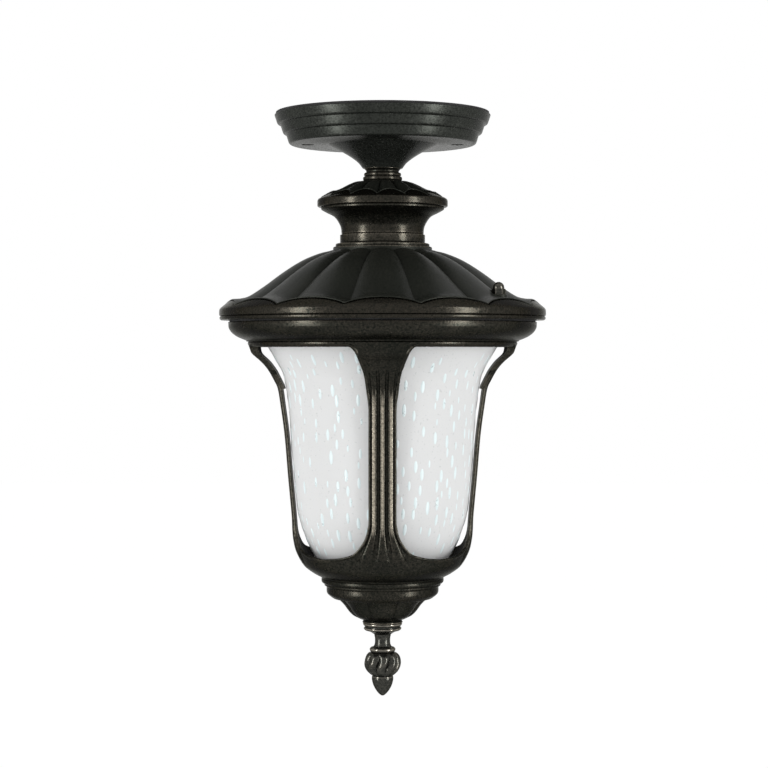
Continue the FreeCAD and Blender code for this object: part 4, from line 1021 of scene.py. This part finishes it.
def make_cage_crown():
    """The moulded cornice, the ring below it and the four flared brackets."""
    inner = RING_INSIDE
    lip = inner + 3.0
    window_top = rib_level + 1.2
    curve = smooth_line(placed(cornice_radius, cornice_level, [
        (-0.2, -1.2), (-0.5, -3.8), (-2.2, -6.6), (-5.2, -9.0), (-8.6, -10.6)])
        + [(cornice_radius - 11.2, ring_level + 0.9)], per_span=7)
    head = rounded([(lip, cornice_level), (cornice_radius - 0.1, cornice_level, 0.8), curve[0]])
    bead = placed(cornice_radius, ring_level, [(-11.6, 0.2, 0.3), (-12.9, 0, 0.25), (-12.3, -0.5, 0.3)])
    edge = placed(cornice_radius, window_top, [(-12.6, 1.2, 0.9), (-13.8, 0, 0.6)])
    back = placed(0, window_top, [(inner, 0), (inner, 1.4), (lip, 1.4)])
    ring = rounded(curve[-1:] + bead + edge + back)
    cornice = lathe("cornice", head + curve[1:] + ring[1:], 224)
    brackets = rib_sector("brackets", -2.8, LAP_DEPTH - 0.02, BRACKET_THICK, 72, 0.8)
    ring_of(brackets, 4, BRONZE)
    tongues = rib_tongues()
    crown = join("cage_crown_casting", cornice, brackets, tongues)
    rub_and_highlight(crown, lambda radius, azimuth, level: np.maximum(
        np.where(radius > inner + 3.5, band(level, window_top - 1, ring_level), 0.0) * beside_ribs(azimuth),
        0.9 * eased(level, cornice_level - 2.6, cornice_level - 1.2)))
    dress(crown, "cage", ["cage_crown"], BRONZE)
    spare_joint(crown, rib_level - LAP_DEPTH)
    return crown


def rib_tongues():
    """The thin tongues behind the straps, one per bracket, that the rivets go through."""
    depth = np.linspace(LAP_DEPTH - 2, LAP_DEPTH + 10.5, 14)
    radius = RIB_RADIUS + line_at(RIB_LINE, depth) - STRAP_THICK - 0.1
    width = line_at(RIB_WIDTHS, depth) - 0.4
    u = np.linspace(-1, 1, 13)
    azimuth = np.arcsin(u[None, :] * (width / radius)[:, None])
    outer = polar(radius[:, None], azimuth, (rib_level - depth)[:, None])
    inner = polar(radius[:, None] - TONGUE_THICK, azimuth, (rib_level - depth)[:, None])[:, ::-1]
    loop = np.concatenate([outer, inner], axis=1)
    sector = grid_object("tongues", loop, close_columns=True, tidy=False)
    with edited(sector.data) as work:
        bmesh.ops.holes_fill(work, edges=[edge for edge in work.edges if edge.is_boundary], sides=0)
    return ring_of(sector, 4, BRONZE)


def make_cage_basket():
    """Four reeded straps that open into the bowl, and the banded base under it."""
    straps = rib_sector("straps", LAP_DEPTH + 0.02, STRAP_FOOT, STRAP_THICK, 60, 1.0)
    ring_of(straps, 4, BRONZE)
    band_level = rib_level - STRAP_FOOT
    girth = BAND_RADIUS
    bands = placed(girth, band_level, [
        (0.2, 3.0), (0.9, 1.0, 0.8), (0.2, -0.2, 0.5), (-0.4, -0.7, 0.2), (0.0, -1.1, 0.3), (0.0, -2.9, 0.8),
        (-1.0, -3.7, 0.3), (-1.8, -4.0, 0.2), (-1.9, -5.2, 0.3), (-3.0, -5.7, 0.3), (-3.2, -6.2, 0.3),
        (-3.2, -10.0, 1.6), (-5.4, -11.9, 1.5)])
    base = lathe("base", rounded(
        [(stud_radius, band_level + 3.0)] + bands
        + [(girth - 7.2, cup_level, 0.5), (stud_radius, cup_level)]), 192)
    basket = join("cage_basket_casting", straps, base)
    rub_and_highlight(basket, lambda radius, azimuth, level: np.maximum(
        reed_rub_and_highlight(radius, azimuth, level),
        np.where(radius > girth - 6, 0.4 * eased(-level, 3.5 - band_level, 6.5 - band_level), 0.0)))
    dress(basket, "cage", ["cage_basket"], BRONZE)
    spare_joint(basket, rib_level - LAP_DEPTH)
    return basket


# --- lower cup
CUP_LOBES = 8
CUP_DEPTH = 2.4
CUP_LINE = [(28.4, 0.0), (27.2, 1.3), (24.2, 4.4), (21.4, 8.2), (18.6, 11.0), (15.6, 12.6)]


def cup_rows(share):
    """The cup's outline at one azimuth of a lobe; the creases are drawn in and up."""
    lift = CUP_DEPTH * sag(share)
    line = []
    for number, (across, down) in enumerate(CUP_LINE):
        fade = 1.0 - 0.55 * number / (len(CUP_LINE) - 1)
        line.append((across - lift * 0.75 * fade, cup_level - down + lift * 0.35 * fade * min(1, number)))
    head = [(stud_radius, cup_level), (line[0][0] - 0.3, cup_level)]
    lobe = smooth_line(line, per_span=7)
    neck = rounded([
        lobe[-1], *placed(0, cup_level, [(13.9, -13.3, 0.5), (12.9, -13.5, 0.4), (12.0, -14.2, 0.4)]),
        (12.7, finial_level + 0.5, 0.4), (12.5, finial_level, 0.2), (stud_radius, finial_level)])
    return head + lobe + neck[1:]


def make_lower_cup():
    cup = ring_of(petal_sector("lobed_cup", CUP_LOBES, cup_rows, 36), CUP_LOBES, BRONZE)
    return dress(cup, "cage", ["lower_cup"], BRONZE)


# --- finial
GADROONS = 9


def make_finial():
    """Flange, stem, twisted gadroon melon and acorn tip."""

    def from_top(*points):
        return placed(0.0, finial_level, points)

    flange = rounded([(stud_radius, finial_level)] + from_top(
        (12.0, 0, 0.5), (12.5, -1.0, 0.8), (11.4, -2.1, 0.5), (11.2, -2.9, 0.4), (12.1, -3.6, 0.8),
        (11.2, -4.8, 0.7), (8.2, -5.6, 1.2), (5.3, -7.4, 1.5)))
    stem = smooth_line(flange[-1:] + from_top((4.8, -10.2), (4.9, -13.2), (5.6, -15.0)), per_span=6)
    knuckle = rounded(stem[-1:] + from_top(
        (7.4, -15.6, 0.5), (8.3, -16.7, 0.9), (7.7, -18.2, 0.5), (7.1, -18.6)))
    melon = smooth_line(knuckle[-1:] + from_top(
        (9.2, -19.3), (10.9, -21.4), (11.6, -24.6), (11.3, -27.6), (9.9, -30.4), (7.6, -32.6), (6.4, -33.4)),
        per_span=9)
    acorn = smooth_line(melon[-1:] + from_top(
        (6.75, -34.3), (6.7, -36.2), (5.9, -39.2), (4.5, -42.0), (2.7, -44.4), (1.2, -45.7))
        + [(0.0, finial_end)], per_span=7)
    inner = [(0.0, finial_level - 9.0), (stud_radius, finial_level - 9.0)]
    profile = flange + stem[1:] + knuckle[1:] + melon[1:] + acorn[1:] + inner
    melon_top, melon_foot = finial_level - 18.9, finial_level - 33.2

    def gadrooned(radius, level, azimuth):
        share = np.clip((melon_top - level) / (melon_top - melon_foot), 0, 1)
        inside = (level < melon_top) & (level > melon_foot) & (radius > 3.5)
        twist = 0.07 * np.sin((share - 0.5) * math.pi) + 0.07 * np.sin((share - 0.5) * TAU)
        lobe = np.abs(np.cos(GADROONS / 2 * (azimuth + twist))) ** 0.8
        depth = 2.3 * np.sin(share * math.pi) ** 0.6
        return np.where(inside, radius - depth * (1 - lobe) * (radius / 11.6), radius), level

    finial = lathe("turned_finial", profile, 216, gadrooned)
    return dress(finial, "cage", ["finial"], PEWTER, sharp=50)


# --- glass
GLASS_LINE = [
    (-7.5, 21.6), (-3.5, 20.2), (0.0, 18.2), (7.0, 14.0), (14.5, 9.9), (22.0, 8.0), (29.5, 6.8), (44.6, 5.2),
    (63.7, 4.0), (80.0, 2.6), (93.0, 1.4), (105.2, -0.5), (117.8, -4.6), (126.5, -8.3)]
GLASS_RADIUS = 53.0
GLASS_WALL = 2.8
GLASS_FOOT = 41.5
GLASS_DEPTH = 133.5


def seed_tree():
    """Scatters long flat seeds over the shade, upright along the glass."""
    tree = Tree("scattered_seeds")
    gap, density, width, length, depth = (
        tree.entry(name, "Float") for name in ("Gap", "Density", "Width", "Length", "Depth"))
    chance = tree.entry("Seed", "Int")
    finish = tree.entry("Finish", "Material")
    shade = tree.inputs.outputs["Geometry"]
    spread = tree.node(
        "GeometryNodeDistributePointsOnFaces",
        {"Mesh": shade, "Distance Min": gap, "Density Max": density, "Seed": chance},
        distribute_method="POISSON")
    flat = tree.node("FunctionNodeAlignRotationToVector", {"Vector": spread.outputs["Normal"]}, axis="Z")
    upright = tree.node("FunctionNodeAlignRotationToVector", {
        "Rotation": flat, "Vector": (0.0, 0.0, 1.0)}, axis="Y", pivot_axis="Z")
    ball = tree.node("GeometryNodeMeshIcoSphere", {"Radius": 0.5, "Subdivisions": 2})
    sizes = tree.node("ShaderNodeCombineXYZ", {"X": width, "Y": length, "Z": depth})
    vary = tree.node("FunctionNodeRandomValue", {2: 0.55, 3: 1.15, "Seed": chance}, data_type="FLOAT")
    scale = tree.node(
        "ShaderNodeVectorMath", {0: sizes, "Scale": vary.outputs[1]}, operation="SCALE")
    seeds = tree.node("GeometryNodeInstanceOnPoints", {
        "Points": spread.outputs["Points"], "Instance": ball, "Rotation": upright,
        "Scale": scale})
    real = tree.node("GeometryNodeRealizeInstances", {"Geometry": seeds})
    done = tree.node("GeometryNodeSetMaterial", {"Geometry": real, "Material": finish})
    tree.finish(done.outputs[0])
    return tree


def make_glass():
    """The frosted shade with its seeds."""
    outer = [(GLASS_RADIUS + out, rib_level - depth) for depth, out in GLASS_LINE]
    outer.append((GLASS_FOOT, rib_level - GLASS_DEPTH))
    line = smooth_line(outer, per_span=6)
    inner = [(across - GLASS_WALL, level) for across, level in reversed(line)]
    shade = lathe("glass_bell", line + inner, 160)
    skin = lathe("seeds", line[16:-6], 96, sheet=True)
    seed_tree().run(
        skin, Gap=6.4 * MM, Density=26000.0, Width=2.3 * MM, Length=7.6 * MM, Depth=0.45 * MM, Seed=11,
        Finish=SEED)
    dress(shade, "cage", ["glass_shade"], FROSTED, wear_and_shade=False)
    dress(skin, "cage", [], SEED, wear_and_shade=False)
    skin.name = "glass_seeds"
    return shade


# --- cap nuts
NUT_FLATS = 7.4


def make_cap_nuts():
    """The domed nuts that hold the cage, one on each boss."""
    for name, body, side in (("roof_nut_front", "nut_front", 1), ("roof_nut_rear", "nut_rear", -1)):
        low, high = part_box(name)
        middle = (low + high) / 2 / MM
        level = low.z / MM
        corner = NUT_FLATS * 0.577
        rows = rounded(placed(0, level, [
            (2.1, 0), (NUT_FLATS * 0.56, 0, 0.4), (corner, 0.5, 0.2), (corner, 3.0, 0.2),
            (NUT_FLATS * 0.54, 3.4)]))
        dome = smooth_line(placed(0, level, [
            (3.5, 3.4), (3.45, 4.4), (3.0, 5.9), (2.1, 6.9), (1.0, 7.45), (0.0, 7.6)]), per_span=5)

        def hexed(radius, height, azimuth):
            turned = (azimuth + math.pi / 6) % (math.pi / 3) - math.pi / 6
            flat = NUT_FLATS / 2 / np.cos(turned)
            beside = (height < level + 3.45) & (radius > 2.5)
            return np.where(beside, np.minimum(radius, flat), radius), height

        nut = lathe(name + "_dome", rows + dome + [(0.0, level + 5.0), (2.1, level + 5.0)], 72, hexed)
        nut.data.transform(shift(middle.x, middle.y))
        dress(nut, body, [name], PEWTER, sharp=28)


# --- finishes of the parts carried over
CARRIED = {
    RUBBER: ["canopy_gasket", "roof_seal", "glass_seat", "glass_lip_gasket"],
    STEEL: ["ceiling_bracket", "threaded_tube", "tube_top_washer", "tube_top_nut", "tube_lower_washer",
            "tube_lower_nut", "cage_studs", "finial_stud", "finial_washer", "finial_nut", "earth_lug"],
    BRASS: ["earth_screw", "terminal_screws", "centre_contact", "screw_shell"],
    BRONZE: ["rib_rivets"],
    NICKEL: ["lamp_cap"],
    PLASTIC: ["lampholder_cap", "lampholder_barrel"],
    CERAMIC: ["lampholder_core"],
    BLOCK: ["terminal_block"],
    OPAL: ["lamp_bulb"],
}


def give(node, material):
    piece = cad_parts[node]
    for slot in piece.material_slots:
        slot.material = material


def finish_carried():
    for material, names in CARRIED.items():
        for name in names:
            give(name, material)
    for name, colour in LEAD_COLOURS.items():
        give(name, moulded(name + "_sheath", colour, 0.42, grain=1.0, depth=0.02))


# --- studio
CAMERA_ASIDE = 0.0009
CAMERA_DISTANCE = 1.30
CAMERA_LEVEL = -0.150
PICTURE_HEIGHT = 0.483
PICTURE_CENTRE = -0.1705
SENSOR = 36.0
FLOOR_LEVEL = -0.62
FLOOR_REACH = 6.0
FLOOR_GLOW = 1.04
FLOOR_SHARE = 0.94
AMBIENT = 0.42
WHITE = (1, 1, 1, 1)
BOX_AZIMUTH = math.radians(57)
BOX_DISTANCE = 1.15
BOX_WIDTH = 0.16
BOX_HEIGHT = 1.20
BOX_POWER = 16.0


def make_camera():
    camera = bpy.data.cameras.new("camera")
    camera.sensor_width = SENSOR
    camera.lens = SENSOR * CAMERA_DISTANCE / PICTURE_HEIGHT
    camera.shift_y = (PICTURE_CENTRE - CAMERA_LEVEL) / PICTURE_HEIGHT
    holder = linked("camera", camera)
    holder.location = (CAMERA_ASIDE, -CAMERA_DISTANCE, CAMERA_LEVEL)
    holder.rotation_euler = (math.pi / 2, 0, 0)
    bpy.context.scene.camera = holder


def soft_box(azimuth):
    """A tall narrow light level with the lantern's middle."""
    light = bpy.data.lights.new("side_box", "AREA")
    light.shape = "RECTANGLE"
    light.size = BOX_WIDTH
    light.size_y = BOX_HEIGHT
    light.energy = BOX_POWER
    holder = linked("side_box", light)
    away = Vector((math.sin(azimuth), -math.cos(azimuth), 0.0))
    holder.location = Vector((0, 0, PICTURE_CENTRE)) + away * BOX_DISTANCE
    holder.rotation_euler = (-away).to_track_quat("-Z", "Y").to_euler()


def background_share(tree):
    """1 for rays that show the background: camera, glossy and transmission rays."""
    path = wired(tree, "ShaderNodeLightPath")
    share = path.outputs["Is Camera Ray"]
    for name in ("Is Glossy Ray", "Is Transmission Ray"):
        larger = wired(tree, "ShaderNodeMath", {0: share, 1: path.outputs[name]}, operation="MAXIMUM")
        share = larger.outputs[0]
    return share


def make_world():
    world = bpy.data.worlds.new("studio")
    bpy.context.scene.world = world
    world.use_nodes = True
    tree = world.node_tree
    plain = tree.nodes["Background"]
    plain.inputs["Strength"].default_value = AMBIENT
    plain.inputs["Color"].default_value = WHITE
    white = wired(tree, "ShaderNodeBackground", {"Color": WHITE, "Strength": 1.0})
    blend = wired(tree, "ShaderNodeMixShader", {
        0: background_share(tree), 1: plain, 2: white})
    tree.links.new(blend.outputs[0], tree.nodes["World Output"].inputs[0])


def make_floor():
    """A wide pale floor well below the lantern, which hangs."""
    mesh = bpy.data.meshes.new("floor")
    sides = ((-1, -1), (1, -1), (1, 1), (-1, 1))
    corners = [(FLOOR_REACH * x, FLOOR_REACH * y, FLOOR_LEVEL) for x, y in sides]
    mesh.from_pydata(corners, [], [(0, 1, 2, 3)])
    floor = linked("floor", mesh)
    material = bpy.data.materials.new("pale_floor")
    material.use_nodes = True
    tree = material.node_tree
    shader = tree.nodes["Principled BSDF"]
    shader.inputs["Base Color"].default_value = (0.9, 0.9, 0.9, 1)
    shader.inputs["Roughness"].default_value = 0.9
    glow = wired(tree, "ShaderNodeEmission", {"Color": WHITE, "Strength": FLOOR_GLOW})
    part = wired(tree, "ShaderNodeMath", {0: background_share(tree), 1: FLOOR_SHARE}, operation="MULTIPLY")
    blend = wired(tree, "ShaderNodeMixShader", {0: part, 1: shader, 2: glow})
    tree.links.new(blend.outputs[0], tree.nodes["Material Output"].inputs[0])
    mesh.materials.append(material)


make_camera()
make_world()
make_floor()
for side in (-1, 1):
    soft_box(side * BOX_AZIMUTH)
bpy.context.scene.view_settings.view_transform = "Standard"

make_canopy()
make_canopy_screws()
make_neck_collar()
make_crown_cap()
make_neck_cove()
make_roof()
make_cage_crown()
make_cage_basket()
make_lower_cup()
make_finial()
make_glass()
make_cap_nuts()
finish_carried()
